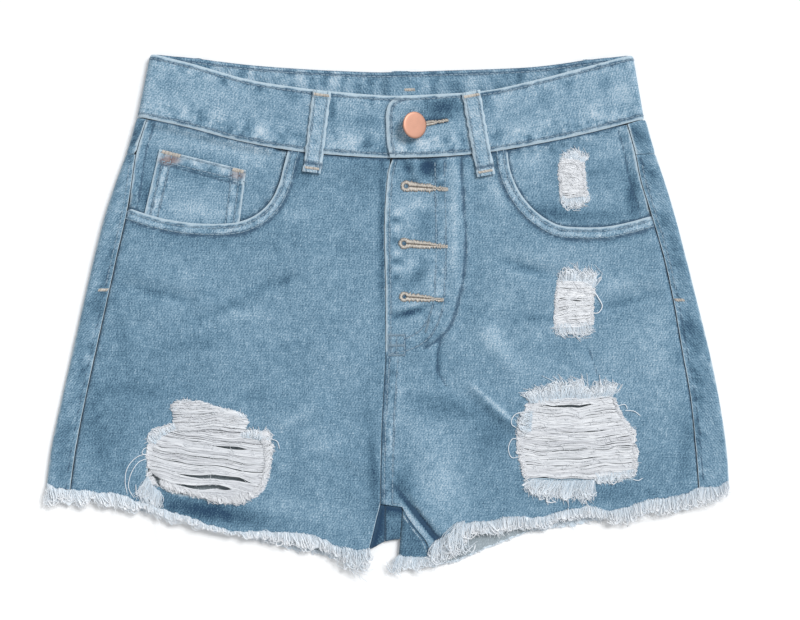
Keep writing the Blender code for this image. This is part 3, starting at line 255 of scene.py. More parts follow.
def curve(points, step=3):
    """Points about a step apart on the smooth curve through the given ones."""
    points = np.array(points, float)
    along = lengths(points)
    return np.column_stack([smooth(zip(along, column))(lattice(0, along[-1], step)) for column in points.T])


def spaced(points, step):
    """Points a whole number of equal steps apart on straight runs between the given ones."""
    points = np.array(points, float)
    along = lengths(points)
    return np.column_stack([np.interp(lattice(0, along[-1], step), along, column) for column in points.T])


def offset(points, distance):
    """The line moved sideways, to the left of its direction where the distance is positive."""
    points = np.asarray(points, float)
    ahead = np.gradient(points, axis=0)
    ahead /= np.hypot(ahead[:, 0], ahead[:, 1])[:, None]
    return points + distance * pairs(-ahead[:, 1], ahead[:, 0])


def ease(value, start, end):
    """0 before start, 1 after end and a soft step between."""
    t = np.clip((value - start) / (end - start), 0, 1)
    return t * t * (3 - 2 * t)


def bell(distance, half=1):
    """1 in the middle and 0 far out: the exponential of minus the squared distance in half widths."""
    return np.exp(-((distance / half) ** 2))


def segment_distance(x, y, ax, ay, bx, by):
    """Distance from each point to one straight segment."""
    run, rise = bx - ax, by - ay
    along = np.clip(((x - ax) * run + (y - ay) * rise) / (run**2 + rise**2), 0, 1)
    return np.hypot(x - ax - along * run, y - ay - along * rise)


def line_distance(x, y, points):
    """Distance from each point to a line of several segments."""
    nearest = np.full(np.shape(x), FAR)
    for a, b in zip(points[:-1], points[1:]):
        nearest = np.minimum(nearest, segment_distance(x, y, *a, *b))
    return nearest


def depth_inside(x, y, ring):
    """Distance to a ring, positive inside it: there an odd number of its edges lie to a point's right."""
    inside = np.zeros(np.shape(x), bool)
    for (ax, ay), (bx, by) in zip(ring, np.roll(ring, -1, axis=0)):
        if ay != by:
            inside ^= ((ay > y) != (by > y)) & (x < ax + (y - ay) * (bx - ax) / (by - ay))
    return np.where(inside, 1, -1) * line_distance(x, y, closed(ring))


def clouds(x, y, size, seed):
    """Soft noise from -1 to 1: random values on a turned square lattice of the given size, eased between."""
    table = np.random.default_rng(seed).uniform(-1, 1, (128, 128))
    u, v = (0.83 * x + 0.56 * y) / size + 64, (0.83 * y - 0.56 * x) / size + 64
    i, j = np.floor(u).astype(int), np.floor(v).astype(int)
    s, t = u - i, v - j
    s, t = s**3 * (s * (s * 6 - 15) + 10), t**3 * (t * (t * 6 - 15) + 10)
    i, j, i_next, j_next = i % 128, j % 128, (i + 1) % 128, (j + 1) % 128
    low = table[i, j] * (1 - s) + table[i_next, j] * s
    high = table[i, j_next] * (1 - s) + table[i_next, j_next] * s
    return low * (1 - t) + high * t


def sided(name, side):
    """The name of a piece on the wearer's right, side -1, or left, side 1."""
    return name + ("_left" if side > 0 else "_right")


front_face = smooth(THICKNESS)
outlines = {side: smooth([(row[0], row[column]) for row in SIDES]) for side, column in ((-1, 1), (1, 4))}
outseam_reads = {side: smooth([(row[0], row[column]) for row in SIDES]) for side, column in ((-1, 2), (1, 3))}
back_top, front_top, front_seam, back_seam = (
    smooth([(row[0], row[column]) for row in WAIST]) for column in (1, 2, 3, 4)
)
seat_fold_y = smooth(SEAT_FOLD)
leg_fold_x, inseam_x = (smooth([(y, x) for x, y in line]) for line in (LEG_FOLD, INSEAM_LEFT))


def outline_x(side, y):
    return outlines[side](y)


def outseam_x(side, y):
    return outseam_reads[side](y)


def side_fold(side, y):
    """Radius of the side fold, half the front's height, and how far out the fold begins."""
    radius = front_face(y) / 2
    return radius, np.abs(outline_x(side, y)) - radius


def seat_seam_x(y):
    """The seam down the middle of the back."""
    return np.interp(y, *zip(*SEAT_SEAM))


def foot_share(x):
    """Share of the waistband's half width at its seam."""
    return (x - WAIST_FOOT[0]) / WAIST_FOOT[1]


def yoke_seam_y(x):
    """The yoke seam under the back: deepest in the middle."""
    share = np.abs(np.asarray(x, float) - seat_seam_x(YOKE_MIDDLE_Y)) / 178
    return YOKE_MIDDLE_Y + (YOKE_SIDE_Y - YOKE_MIDDLE_Y) * share**0.9


def waist_seam_line(start, end):
    """The front seam below the waistband from one x to the other."""
    x = np.linspace(start, end, max(2, round(abs(end - start) / 6) + 1))
    return pairs(x, front_seam(foot_share(x)) - SEAM)


fly_area = np.vstack([curve(FLY_RIDGE, 6), [(-8, -26.6), (-8, 118), (50.3, 118)]])
fly_crease = curve(FLY_RIDGE, 4)[:-7]
deep_fold = curve(DEEP_FOLD, 4)
rise_line = np.vstack([curve(RISE_EDGE, 8), curve(INNER_EDGE_RIGHT, 6)])
scoops = {side: curve(SCOOPS[side], 5) for side in (-1, 1)}
waist_lines = {-1: waist_seam_line(-160, 2.4), 1: waist_seam_line(160, 3.6)}
outseam_rows = np.linspace(-119, 73, 33)
outseams = {side: pairs(outseam_x(side, outseam_rows), outseam_rows) for side in (-1, 1)}
back_loops = [
    (x, float(back_top(foot_share(x))) + 1, float(back_seam(foot_share(x))) - 12) for x in BACK_LOOP_X
]
back_pockets = {side: np.array([(side * x, y) for x, y in BACK_POCKET], float) for side in (-1, 1)}


def folds(x, y, table=FOLDS):
    """Creases as soft ridges and troughs: each a bell across a straight segment."""
    height = np.zeros(np.shape(x))
    for ax, ay, bx, by, half_width, rise in table:
        height += rise * bell(segment_distance(x, y, ax, ay, bx, by), half_width)
    return height


def ripple(x, y):
    """Gentle unevenness of washed cloth: three sizes of soft noise."""
    return 0.42 * clouds(x, y, 48, 3) + 0.2 * clouds(x, y, 20, 4) + 0.08 * clouds(x, y, 9, 5)


def seam_nearness(x, y, seams):
    """1 on a seam and 0 away from it. Each seam is a line, its half width and its strength."""
    near = np.zeros(np.shape(x))
    for line, half_width, strength in seams:
        near = np.maximum(near, strength * bell(line_distance(x, y, line), half_width))
    return near


def roping(x, y, seams, seed):
    """Seam puckers from -1 to 1: short noise that fades out with the distance from each seam."""
    lumps = 0.75 * clouds(x, y, 5.6, seed) + 0.55 * clouds(x, y, 3.4, seed + 1)
    return seam_nearness(x, y, seams) * np.clip(lumps, -1, 1)


FRONT_SEAMS = {
    side: [(offset(scoops[side], -4.4 * side), 4.2, 1), (waist_lines[side], 6, 0.8), (outseams[side], 5, 0.5)]
    for side in (-1, 1)
}
FRONT_SEAMS[-1].append((curve(FLY_EDGE, 8), 4, 0.35))
FRONT_SEAMS[1] += [
    (offset(curve(RISE_EDGE, 8), 5), 4.8, 1), (curve(FLY_EDGE, 8), 5, 0.6),
    (((36, 104), (36, 8), (27, -14), (2, -22)), 8, 0.7),
]


def front_height(side, x, y):
    """Outer face of a front: the solid's form with ripples, seam puckers, a pocket band and seam dips."""
    height = front_face(y) + folds(x, y) + folds(x, y, CREASES) + ripple(x, y)
    if side < 0:
        height += LIP_LIFT * np.exp(-line_distance(x, y, rise_line) / 9) * ease(-y, 20, 40)
    else:
        height += FLY_LIFT * ease(depth_inside(x, y, fly_area), -9, 1)
        height -= bell(line_distance(x, y, fly_crease), 1.5) + 0.7 * bell(line_distance(x, y, FLY_TAIL), 2.2)
        distance = line_distance(x, y, deep_fold)
        (ax, ay), (bx, by) = deep_fold[0], deep_fold[-1]
        across = np.where((x - ax) * (ay - by) + (y - ay) * (bx - ax) > 0, distance, -distance)
        ridge = ease(across, -1.5, 5.5) * np.exp(-np.clip(across - 6, 0, None) / 22)
        height += ease(-y, 108, 138) * DEEP_FOLD_LIFT * ridge
    height += 0.45 * (1 - ease(line_distance(x, y, scoops[side]), 7, 8.4))
    height -= bell(line_distance(x, y, waist_lines[side]), 2.4)
    height -= 0.8 * bell(line_distance(x, y, outseams[side]), 1.8)
    return height + 0.32 * roping(x, y, FRONT_SEAMS[side], 40 + side)


def back_lift(x, y):
    """How far the back is raised by the belt loops and pockets that lie under it."""
    lift = np.zeros(np.broadcast(x, y).shape)
    for middle, top, foot in back_loops:
        out = np.maximum(np.abs(x - middle) - LOOP_WIDTH / 2, np.maximum(y - top, foot - y))
        lift = np.maximum(lift, BACK_LIFT * ease(-out, -8, -1.2))
    for ring in back_pockets.values():
        lift = np.maximum(lift, BACK_LIFT * ease(depth_inside(x, y, ring), -10, -1.2))
    return lift


def stacked(x, y, z):
    return np.stack(np.broadcast_arrays(x, y, z), -1).astype(float)


def front_place(side):
    """A front lies in plan, so its flat coordinates are x and y."""
    return lambda u, v: stacked(u, v, front_height(side, u, v))


def facing_place(side, lift=0.0):
    """A pocket facing: it rises to the seams around it and dips under the scoop."""
    scoop, drop = scoops[side], POCKET_DROP[side]
    opening = np.vstack([scoop, [(side * 400, 72), (side * 400, 300), (scoop[0][0], 300)]])

    def place(u, v):
        to_side = side * (outseam_x(side, v) - u)
        to_top = front_seam(foot_share(u)) - v
        near = np.maximum(ease(-to_side, -FACING_RISE, -1), ease(-to_top, -FACING_RISE, -1))
        depth = depth_inside(u, v, opening)
        z = front_face(v) - drop + (drop - 0.4) * near * ease(depth, 4, 12) + ripple(u, v)
        z += lift + 0.25 * roping(u, v, ((waist_lines[side], 7.0, 0.9),), 61) * ease(depth, 2, 8)
        return stacked(u, v, z)

    return place


def turned(run, radius):
    """A sheet bent half round a fold: its turn, how far it sticks out, how far it runs on, and its height."""
    turn = np.clip(run / radius, 0, math.pi)
    return turn, radius * np.sin(turn), np.clip(run - math.pi * radius, 0, None), radius * (1 - np.cos(turn))


def back_place(side):
    """The back: flat to the side fold, half a turn round it, then flat to the outseam over the top.

    u runs outwards from x = 0 under the shorts, and the fold's radius is half the front's height.
    """

    def place(u, v):
        radius, fold = side_fold(side, v)
        turn, out, beyond, z = turned(u - fold, radius)
        x = side * (np.minimum(u, fold) + out - beyond)
        over = (turn / math.pi) ** 2
        creases = np.clip(folds(x, v, BACK_CREASES), 0, None) * ease(v, -150, -120)
        z += ease(fold - u, 0, 8) * (back_lift(x, v) + creases)
        edge = np.abs(outseam_x(side, v)) - np.abs(x)
        z += over * (0.5 * ripple(x, v) + 0.3 * bell(edge, 2))
        z += over * 0.3 * roping(x, v, ((outseams[side], 8.0, 1.0),), 71)
        return stacked(x, v, z)

    return place


def seat_place(side):
    """The seat turned up across a fold: u runs across, v goes round the fold and up to the end."""

    def place(u, v):
        x = side * u
        turn, out, beyond, z = turned(v, SEAT_FOLD_TOP / 2)
        y = seat_fold_y(x) + SEAT_FOLD_TOP / 2 - out + beyond
        return stacked(x, y, z + 0.1 * clouds(x, y, 8, 12) * (turn / math.pi))

    return place


def leg_place(u, v):
    """The left leg turned up at its inner side: u goes round the fold and out to the inseam."""
    turn, out, beyond, z = turned(u, LEG_FOLD_TOP / 2)
    x = leg_fold_x(v) + LEG_FOLD_TOP / 2 - out + beyond
    return stacked(x, v, z + 0.15 * clouds(x, v, 9, 13) * (turn / math.pi))


def band_relief(q, v):
    """Unevenness of the waistband: soft noise and puckers along both of its stitched edges."""
    seams = ((((-400, 2), (400, 2)), 6.0, 1.0), (((-400, 39), (400, 39)), 7.0, 1.0))
    foot = bell(v - 34, 7) + 0.6 * bell(v - 6, 5)
    lumps = 0.3 * clouds(q, v, 26, 14) + 0.12 * clouds(q, v, 11, 15) + 0.2 * roping(q, v, seams, 16)
    return lumps + 0.3 * foot * clouds(q, v * 0.5, 6.4, 188)


def band_place(q, v):
    """The waistband: q runs round the waist from the middle of the back, and v from the top to the foot.

    It is flat under the shorts, turns half round at each side and is flat again over the front.
    """
    across = v / BAND_HEIGHT
    side = np.where(q < 0, -1.0, 1.0)
    run = np.abs(q)
    turn, out, beyond, z = turned(run - WAIST_FLAT, WAIST_RADIUS)
    low = side * np.minimum(run, WAIST_FLAT) / WAIST_TOP[1]
    high = side * (WAIST_FLAT - beyond) / WAIST_TOP[1]
    over = turn / math.pi
    share = low * (1 - over) + high * over
    x_top, x_foot = (middle + half * share for middle, half in (WAIST_TOP, WAIST_FOOT))
    x = x_top * (1 - across) + x_foot * across
    y_low = back_top(low) * (1 - across) + back_seam(low) * across
    y_high = front_top(high) * (1 - across) + front_seam(high) * across
    x = x + side * out
    y = y_low * (1 - over) + y_high * over
    tab, underlap = TAB_TOP - WAISTBAND_TOP, UNDERLAP_TOP - WAISTBAND_TOP
    lap = np.where(q < 0, underlap * ease(x, -11, -3), tab * ease(-x, -56, -42))
    under = ease(WAIST_FLAT - run, 0, 8)
    z += under * back_lift(x, y) + over**2 * (lap + band_relief(q, v))
    return stacked(x, y, z + 0.22 * (1 + clouds(q, v * 0.3, 5.2, 187)) * under)


def band_at(x, y, side):
    """Flat coordinates of a point on the front of the waistband, by turns of share and height."""
    across = np.full(np.shape(x), 0.5)
    for _ in range(5):
        middle = WAIST_TOP[0] * (1 - across) + WAIST_FOOT[0] * across
        half = WAIST_TOP[1] * (1 - across) + WAIST_FOOT[1] * across
        share = (x - middle) / half
        across = (front_top(share) - y) / (front_top(share) - front_seam(share))
    run = 2 * WAIST_FLAT + math.pi * WAIST_RADIUS - side * share * WAIST_TOP[1]
    return np.stack([side * run, across * BAND_HEIGHT], -1)


def normals(place, u, v, out):
    """Unit normals of a placed sheet, from the cross product of its slopes along u and v."""
    reach = 0.4
    along_u = place(u + reach, v) - place(u - reach, v)
    along_v = place(u, v + reach) - place(u, v - reach)
    normal = np.cross(along_u, along_v) * out
    return normal / np.maximum(np.linalg.norm(normal, axis=-1, keepdims=True), 1e-9)


class Patch:
    """Points, faces by material number, and named numbers at the points."""

    def __init__(self, points, faces, fields):
        self.points = points
        self.faces = faces
        self.fields = fields


def joined(patches):
    """One patch from several."""
    start = np.cumsum([0] + [len(patch.points) for patch in patches])
    faces = [(face + first, number) for patch, first in zip(patches, start) for face, number in patch.faces]
    names = patches[0].fields
    fields = {name: np.concatenate([patch.fields[name] for patch in patches]) for name in names}
    return Patch(np.concatenate([patch.points for patch in patches]), faces, fields)


def nearest_on(points, rings):
    """The nearest point of some closed rings to each point."""
    starts = np.vstack(rings)
    runs = np.vstack([np.roll(ring, -1, axis=0) - ring for ring in rings])
    away = points[:, None] - starts
    along = np.clip((away * runs).sum(-1) / np.maximum((runs**2).sum(-1), 1e-9), 0, 1)
    feet = starts + along[..., None] * runs
    best = ((points[:, None] - feet) ** 2).sum(-1).argmin(1)
    return feet[np.arange(len(points)), best]


def sharp_corners(ring):
    """The ring's points where it turns by more than a third of a right angle."""
    before, after = ring - np.roll(ring, 1, axis=0), np.roll(ring, -1, axis=0) - ring
    turn = np.arctan2(before[:, 0] * after[:, 1] - before[:, 1] * after[:, 0], (before * after).sum(-1))
    return ring[np.abs(turn) > math.radians(32)]


def cloth_shell(outline, place, grid, look, holes=(), out=1, lining=1, wall=None):
    """A closed shell of cloth over a cut outline.

    A lattice of columns and rows keeps the cells whose middle lies in the outline and out of the holes.
    Its rim is drawn onto the outline, the place function bends it into form, and a second layer lies a
    wall further in along the normals.
    """
    rings = [np.asarray(ring, float) for ring in (outline, *holes)]
    wall = wall or size_of("cloth_wall")
    columns, rows = grid
    u, v = np.meshgrid(columns, rows)
    depth = depth_inside(u, v, rings[0])
    for hole in rings[1:]:
        depth = np.minimum(depth, -depth_inside(u, v, hole))
    middle = depth[:-1, :-1] + depth[1:, :-1] + depth[:-1, 1:] + depth[1:, 1:]
    kept = np.pad(middle > 0, 1)
    index = np.arange(u.size).reshape(u.shape)
    cells = np.stack([index[:-1, :-1], index[:-1, 1:], index[1:, 1:], index[1:, :-1]], -1)[kept[1:-1, 1:-1]]
    above, below = kept[1:, 1:-1], kept[:-1, 1:-1]
    right, left = kept[1:-1, 1:], kept[1:-1, :-1]
    rim = np.concatenate([
        np.stack(ends, -1)[here & ~there]
        for ends, here, there in (
            ((index[:, :-1], index[:, 1:]), above, below), ((index[:, 1:], index[:, :-1]), below, above),
            ((index[:-1], index[1:]), left, right), ((index[1:], index[:-1]), right, left),
        )
    ])
    plane = np.stack([u, v], -1).reshape(-1, 2)
    edge = np.unique(rim)
    was = plane[edge].copy()
    plane[edge] = nearest_on(was, rings)
    for ring in rings:
        for corner in sharp_corners(ring):
            plane[edge[((was - corner) ** 2).sum(-1).argmin()]] = corner
    step = max(columns[1] - columns[0], rows[1] - rows[0])
    near = (depth > 0) & (depth < 3 * step)
    near.reshape(-1)[edge] = False
    near[[0, -1]] = False
    near[:, [0, -1]] = False
    grid = plane.reshape(*u.shape, 2)
    for _ in range(3):
        mean = sum(np.roll(grid, shift, axis) for shift in (1, -1) for axis in (0, 1)) / 4
        grid[near] = mean[near]
    used = np.unique(cells)
    count = len(used)
    number = np.zeros(u.size, int)
    number[used] = np.arange(count)
    flat = plane[used].T
    outer = place(*flat)
    normal = normals(place, *flat, out)
    at_rim = np.zeros(count)
    at_rim[number[edge]] = 0.3
    inner = outer - normal * (wall * (1 - at_rim))[:, None]
    outer = outer - normal * (wall * at_rim)[:, None]
    cells, rim = number[cells], number[rim]
    if out < 0:
        cells, rim = cells[:, ::-1], rim[:, ::-1]
    walls = np.stack([rim[:, 1], rim[:, 0], rim[:, 0] + count, rim[:, 1] + count], -1)
    fields = {**look(*flat), "weave": stacked(*flat, 0)}
    fields = {name: np.concatenate([value, value]) for name, value in fields.items()}
    faces = [(cells, 0), (cells[:, ::-1] + count, lining), (walls, 0)]
    return Patch(np.concatenate([outer, inner]), faces, fields)


def flat_area(outline, holes=()):
    """Area of the cut cloth by the shoelace sum, its holes taken off."""
    area = 0.0
    for sign, ring in [(1, outline), *[(-1, hole) for hole in holes]]:
        x, y = np.asarray(ring, float).T
        area += sign * abs(np.dot(x, np.roll(y, -1)) - np.dot(y, np.roll(x, -1))) / 2
    return area


def tubes(rings, fields):
    """Closed tubes from rings of points: one tube a row, a quad between each two rings, and flat ends.

    rings has the shape tubes, rings along, points round, 3. A field has the shape tubes, rings along.
    """
    many, along, round_count = rings.shape[:3]
    index = np.arange(many * along * round_count).reshape(many, along, round_count)
    turned = np.roll(index, -1, axis=2)
    sides = np.stack([index[:, :-1], turned[:, :-1], turned[:, 1:], index[:, 1:]], -1).reshape(-1, 4)
    ends = np.concatenate([index[:, 0, ::-1], index[:, -1]])
    fields = {
        name: np.repeat(np.broadcast_to(value, (many, along)).reshape(-1), round_count)
        for name, value in fields.items()
    }
    return Patch(rings.reshape(-1, 3), [(sides, 0), (ends, 0)], fields)


def strands(paths, radius, fields, round_count=3):
    """Threads: a small ring carried along each path, square to it.

    paths has the shape threads, points, 3, and radius is one number or has the shape threads, points.
    """
    ahead = np.gradient(paths, axis=1)
    ahead /= np.maximum(np.linalg.norm(ahead, axis=-1, keepdims=True), 1e-9)
    steep = np.abs(ahead[..., 2:]) > 0.95
    up = np.where(steep, (1, 0, 0), (0, 0, 1))
    side = np.cross(ahead, up)
    side /= np.maximum(np.linalg.norm(side, axis=-1, keepdims=True), 1e-9)
    lift = np.cross(side, ahead)
    turn = 2 * math.pi * (np.arange(round_count) + 0.25) / round_count
    radius = np.broadcast_to(radius, paths.shape[:2])[..., None, None]
    round_it = np.cos(turn)[:, None] * side[:, :, None] - np.sin(turn)[:, None] * lift[:, :, None]
    return tubes(paths[:, :, None] + radius * round_it, fields)


def add_piece(name, patch, finishes, replaced=(), flat=None, sharp=38):
    """Writes a patch as one object: mesh, materials, attributes, body and the solids it stands for."""
    mesh = bpy.data.meshes.new(name)
    points = (patch.points - MIDDLE) * MM
    mesh.vertices.add(len(points))
    mesh.vertices.foreach_set("co", points.astype(np.float32).ravel())
    sizes = np.concatenate([np.full(len(face), face.shape[1]) for face, _ in patch.faces])
    corners = np.concatenate([face.ravel() for face, _ in patch.faces])
    numbers = np.concatenate([np.full(len(face), number) for face, number in patch.faces])
    mesh.loops.add(len(corners))
    mesh.loops.foreach_set("vertex_index", corners.astype(np.int32))
    mesh.polygons.add(len(sizes))
    mesh.polygons.foreach_set("loop_start", (np.cumsum(sizes) - sizes).astype(np.int32))
    mesh.polygons.foreach_set("material_index", numbers.astype(np.int32))
    mesh.update(calc_edges=True)
    for field, value in patch.fields.items():
        kind, member = ("FLOAT_VECTOR", "vector") if value.ndim == 2 else ("FLOAT", "value")
        made = mesh.attributes.new(field, kind, "POINT")
        made.data.foreach_set(member, value.astype(np.float32).ravel())
    mesh.shade_smooth()
    mesh.set_sharp_from_angle(angle=math.radians(sharp))
    for key in finishes:
        mesh.materials.append(finish(key))
    if mesh.validate():
        raise RuntimeError(f"{name} has broken faces")
    piece = bpy.data.objects.new(name, mesh)
    bpy.context.scene.collection.objects.link(piece)
    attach(piece, "root")
    if replaced:
        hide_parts(*replaced)
    if flat is not None:
        width, length = (size * MM for size in flat)
    return piece


def add_cloth(name, patch, outline, holes=(), lined=True, flat=None, more=0):
    """A piece of cloth in the place of the solid of its name; its flat size and area are worked out but not
    used.
    """
    flat = np.ptp(outline, axis=0) if flat is None else flat
    finishes = ("denim", "wrong_side") if lined else ("denim",)
    area = flat_area(outline, holes) + more
    return add_piece(name + "_shell", patch, finishes, (name,), flat=flat)


def linear(text):
    """An sRGB hex colour as scene linear numbers, with an alpha of 1."""
    values = [int(text[i:i + 2], 16) / 255 for i in (1, 3, 5)]
    return (*[c / 12.92 if c <= 0.04045 else ((c + 0.055) / 1.055) ** 2.4 for c in values], 1)


def fill(made, inputs):
    """Gives a node's inputs their values or links them to sockets."""
    for key, value in inputs.items():
        if isinstance(value, bpy.types.NodeSocket):
            made.id_data.links.new(value, made.inputs[key])
        else:
            made.inputs[key].default_value = value


def node(tree, kind, inputs=None, out=0, **settings):
    """Adds a node with its own settings and its inputs, and gives back one output."""
    made = tree.nodes.new("ShaderNode" + kind)
    for key, value in settings.items():
        setattr(made, key, value)
    fill(made, inputs or {})
    return made.outputs[out]


def set_stops(ramp, stops):
    """Gives the colour ramp behind a socket its stops, each a place and a colour."""
    elements = ramp.node.color_ramp.elements
    while len(elements) < len(stops):
        elements.new(0.5)
    for element, (place, colour) in zip(elements, stops):
        element.position = place
        element.color = (*colour[:3], 1)


def new_material(name):
    """An empty material with its node tree and Principled shader."""
    material = bpy.data.materials.new(name)
    material.use_nodes = True
    return material, material.node_tree, material.node_tree.nodes["Principled BSDF"]


def summed(tree, terms):
    """Adds up sockets, each times its share."""
    total = 0.0
    for socket, share in terms:
        total = node(tree, "Math", {0: socket, 1: share, 2: total}, operation="MULTIPLY_ADD")
    return total


def tinted(colour, factor):
    """A colour times a factor, up to white."""
    return tuple(min(1, c * factor) for c in colour[:3])


def washed_denim(name, stops, worn, deep, contrast):
    """Stone washed cotton denim: an indigo warp over a white weft, which shows as a fine pale speckle.

    The eye sees a matt blue with a fine grain, uneven warp streaks, pale rubbed edges, dark seams and
    short light and dark puckers along them. The tone carries the wash and also painted light and shade,
    and near dark lines the deep colour is mixed in as painted shade in grooves, stitch rows and under
    raised edges, together with the unfaded dye of the seams. The twill is drawn at 1.5 mm, about one and
    a half times the real spacing, so that it shows in a render.
    """
    material, tree, shader = new_material(name)
    weave = node(tree, "Attribute", out="Vector", attribute_name="weave")
    wash, pucker, rubbed, sunk_shade, stain = (
        node(tree, "Attribute", out="Fac", attribute_name=field)
        for field in ("wash", "pucker", "worn", "groove", "stain")
    )
    twill_way, warp_way, weft_way = (
        node(tree, "Mapping", {"Vector": weave, "Scale": (across, along, 1)})
        for across, along in ((1, -0.62), (0.95, 0.12), (0.12, 0.9))
    )
    twill = node(
        tree, "TexWave",
        {
            "Vector": twill_way, "Scale": 0.444 / TWILL_STEP, "Distortion": 3.5,
            "Detail": 3, "Detail Scale": 2.2,
        },
        "Fac", wave_type="BANDS", bands_direction="DIAGONAL",
    )
    fleck, warp, weft, blotch, rope = (
        node(tree, "TexNoise", {"Vector": way, "Scale": scale, "Detail": detail, "Roughness": rough})
        for way, scale, detail, rough in (
            (weave, 1.15, 3, 0.65), (warp_way, 1, 2, 0.5), (weft_way, 1, 2, 0.5), (weave, 0.17, 4, 0.5),
            (weave, 0.24, 1, 0.5),
        )
    )
    rope = node(tree, "Math", {0: rope, 1: 0.5}, operation="SUBTRACT")
    rope = node(tree, "Math", {0: rope, 1: pucker}, operation="MULTIPLY")
    grain = [
        (socket, share * contrast)
        for socket, share in ((twill, 0.1), (fleck, 1.25), (warp, 0.4), (weft, 0.3), (blotch, 0.26))
    ]
    middle = 0.5 - 0.5 * sum(share for _, share in grain)
    tone = summed(tree, (*grain, (wash, 0.5), (rope, 0.45)))
    tone = node(tree, "Math", {0: tone, 1: middle}, operation="ADD")
    colour = node(tree, "ValToRGB", {"Fac": tone})
    set_stops(colour, stops)
    # The first map mixes in the pale worn colour near rubbed edges. The second mixes in the deep colour near
    # dark lines, as painted shade together with the unfaded dye of seams.
    rubbed, sunk_shade = (
        node(
            tree, "MapRange",
            {"Value": summed(tree, terms), "From Min": far, "From Max": near, "To Min": 0, "To Max": 0.85},
            interpolation_type="SMOOTHSTEP",
        )
        for far, near, terms in (
            (3.5, 2.2, ((rubbed, 1), (fleck, 2.2), (blotch, 1.4), (rope, -0.8))),
            (2, 0.9, ((sunk_shade, 1), (fleck, 1.2), (blotch, 0.5), (rope, 0.8))),
        )
    )
    stain = node(tree, "Math", {0: stain, 1: fleck}, operation="MULTIPLY")
    for share, over in ((rubbed, worn), (sunk_shade, deep), (stain, linear(RUST))):
        colour = node(tree, "Mix", {0: share, 6: colour, 7: over}, 2, data_type="RGBA")
    relief = summed(tree, ((twill, 0.5), (fleck, 1.1), (warp, 0.6), (weft, 0.4), (sunk_shade, -1.1)))
    normal = node(tree, "Bump", {"Height": relief, "Strength": 0.7, "Distance": 0.0003})
    normal = node(tree, "Bump", {"Height": rope, "Strength": 0.6, "Distance": 0.0014, "Normal": normal})
    fill(shader, {
        "Base Color": colour, "Normal": normal, "Roughness": 0.92, "Specular IOR Level": 0.25,
        "Sheen Weight": 0.12, "Sheen Roughness": 0.6,
    })
    return material


def spun_cotton(name, root, pale, dull):
    """Spun cotton yarn: matt and hairy, so the eye sees soft white with dull gaps between the fibres.

    fray takes it from the colour near the cloth to the pale end, and shade mixes in the dull colour: partly
    at random, partly as painted shade on low fibres and on the ends of buttonhole threads.
    """
    material, tree, shader = new_material(name)
    fray, shade = (node(tree, "Attribute", out="Fac", attribute_name=field) for field in ("fray", "shade"))
    place = node(tree, "TexCoord", out="Object")
    fuzz = node(tree, "TexNoise", {"Vector": place, "Scale": 900, "Detail": 2})
    along = summed(tree, ((fray, 1), (fuzz, 0.5)))
    along = node(tree, "Math", {0: along, 1: 0.25}, operation="SUBTRACT", use_clamp=True)
    dark = summed(tree, ((shade, 0.5), (fuzz, 0.5)))
    dark = node(tree, "MapRange", {"Value": dark, "From Min": 0.5, "From Max": 1.15, "To Max": 0.75})
    colour = root
    for share, over in ((along, pale), (dark, dull)):
        colour = node(tree, "Mix", {0: share, 6: colour, 7: over}, 2, data_type="RGBA")
    normal = node(tree, "Bump", {"Height": fuzz, "Strength": 0.4, "Distance": 0.0002})
    fill(shader, {
        "Base Color": colour, "Normal": normal, "Roughness": 0.95, "Specular IOR Level": 0.2,
        "Sheen Weight": 0.2,
    })
    return material


def plated_copper(name, face):
    """Copper plating on a stamped shank button, satin brushed: a flat rosy glow with faint fine grain."""
    material, tree, shader = new_material(name)
    place = node(tree, "TexCoord", out="Object")
    grain, haze = (
        node(tree, "TexNoise", {"Vector": place, "Scale": scale, "Detail": detail})
        for scale, detail in ((1600, 3), (140, 1))
    )
    colour = node(tree, "ValToRGB", {"Fac": summed(tree, ((grain, 0.5), (haze, 0.5)))})
    set_stops(colour, ((0.3, tinted(face, 0.9)), (0.7, tinted(face, 1.06))))
    rough = node(tree, "MapRange", {"Value": grain, "To Min": 0.5, "To Max": 0.62})
    normal = node(tree, "Bump", {"Height": grain, "Strength": 0.1, "Distance": 0.0001})
    fill(shader, {"Base Color": colour, "Roughness": rough, "Normal": normal, "Metallic": 1})
    return material


def matt_paper(name, colour):
    """Seamless studio paper: even, matt and nearly white, with a faint tooth."""
    material, tree, shader = new_material(name)
    place = node(tree, "TexCoord", out="Object")
    tooth = node(tree, "TexNoise", {"Vector": place, "Scale": 400, "Detail": 2})
    ramp = node(tree, "ValToRGB", {"Fac": tooth})
    set_stops(ramp, ((0.3, tinted(colour, 0.985)), (0.7, colour)))
    fill(shader, {"Base Color": ramp, "Roughness": 0.9})
    return material


FINISH_NAMES = {
    "denim": "stone_washed_cotton_denim",
    "wrong_side": "denim_wrong_side",
    "cotton": "frayed_cotton_fibre",
    "weft": "spun_cotton_weft",
    "topstitch": "spun_polycotton_topstitch",
    "tan": "spun_cotton_tan_stitch",
    "copper": "satin_copper_plating",
}


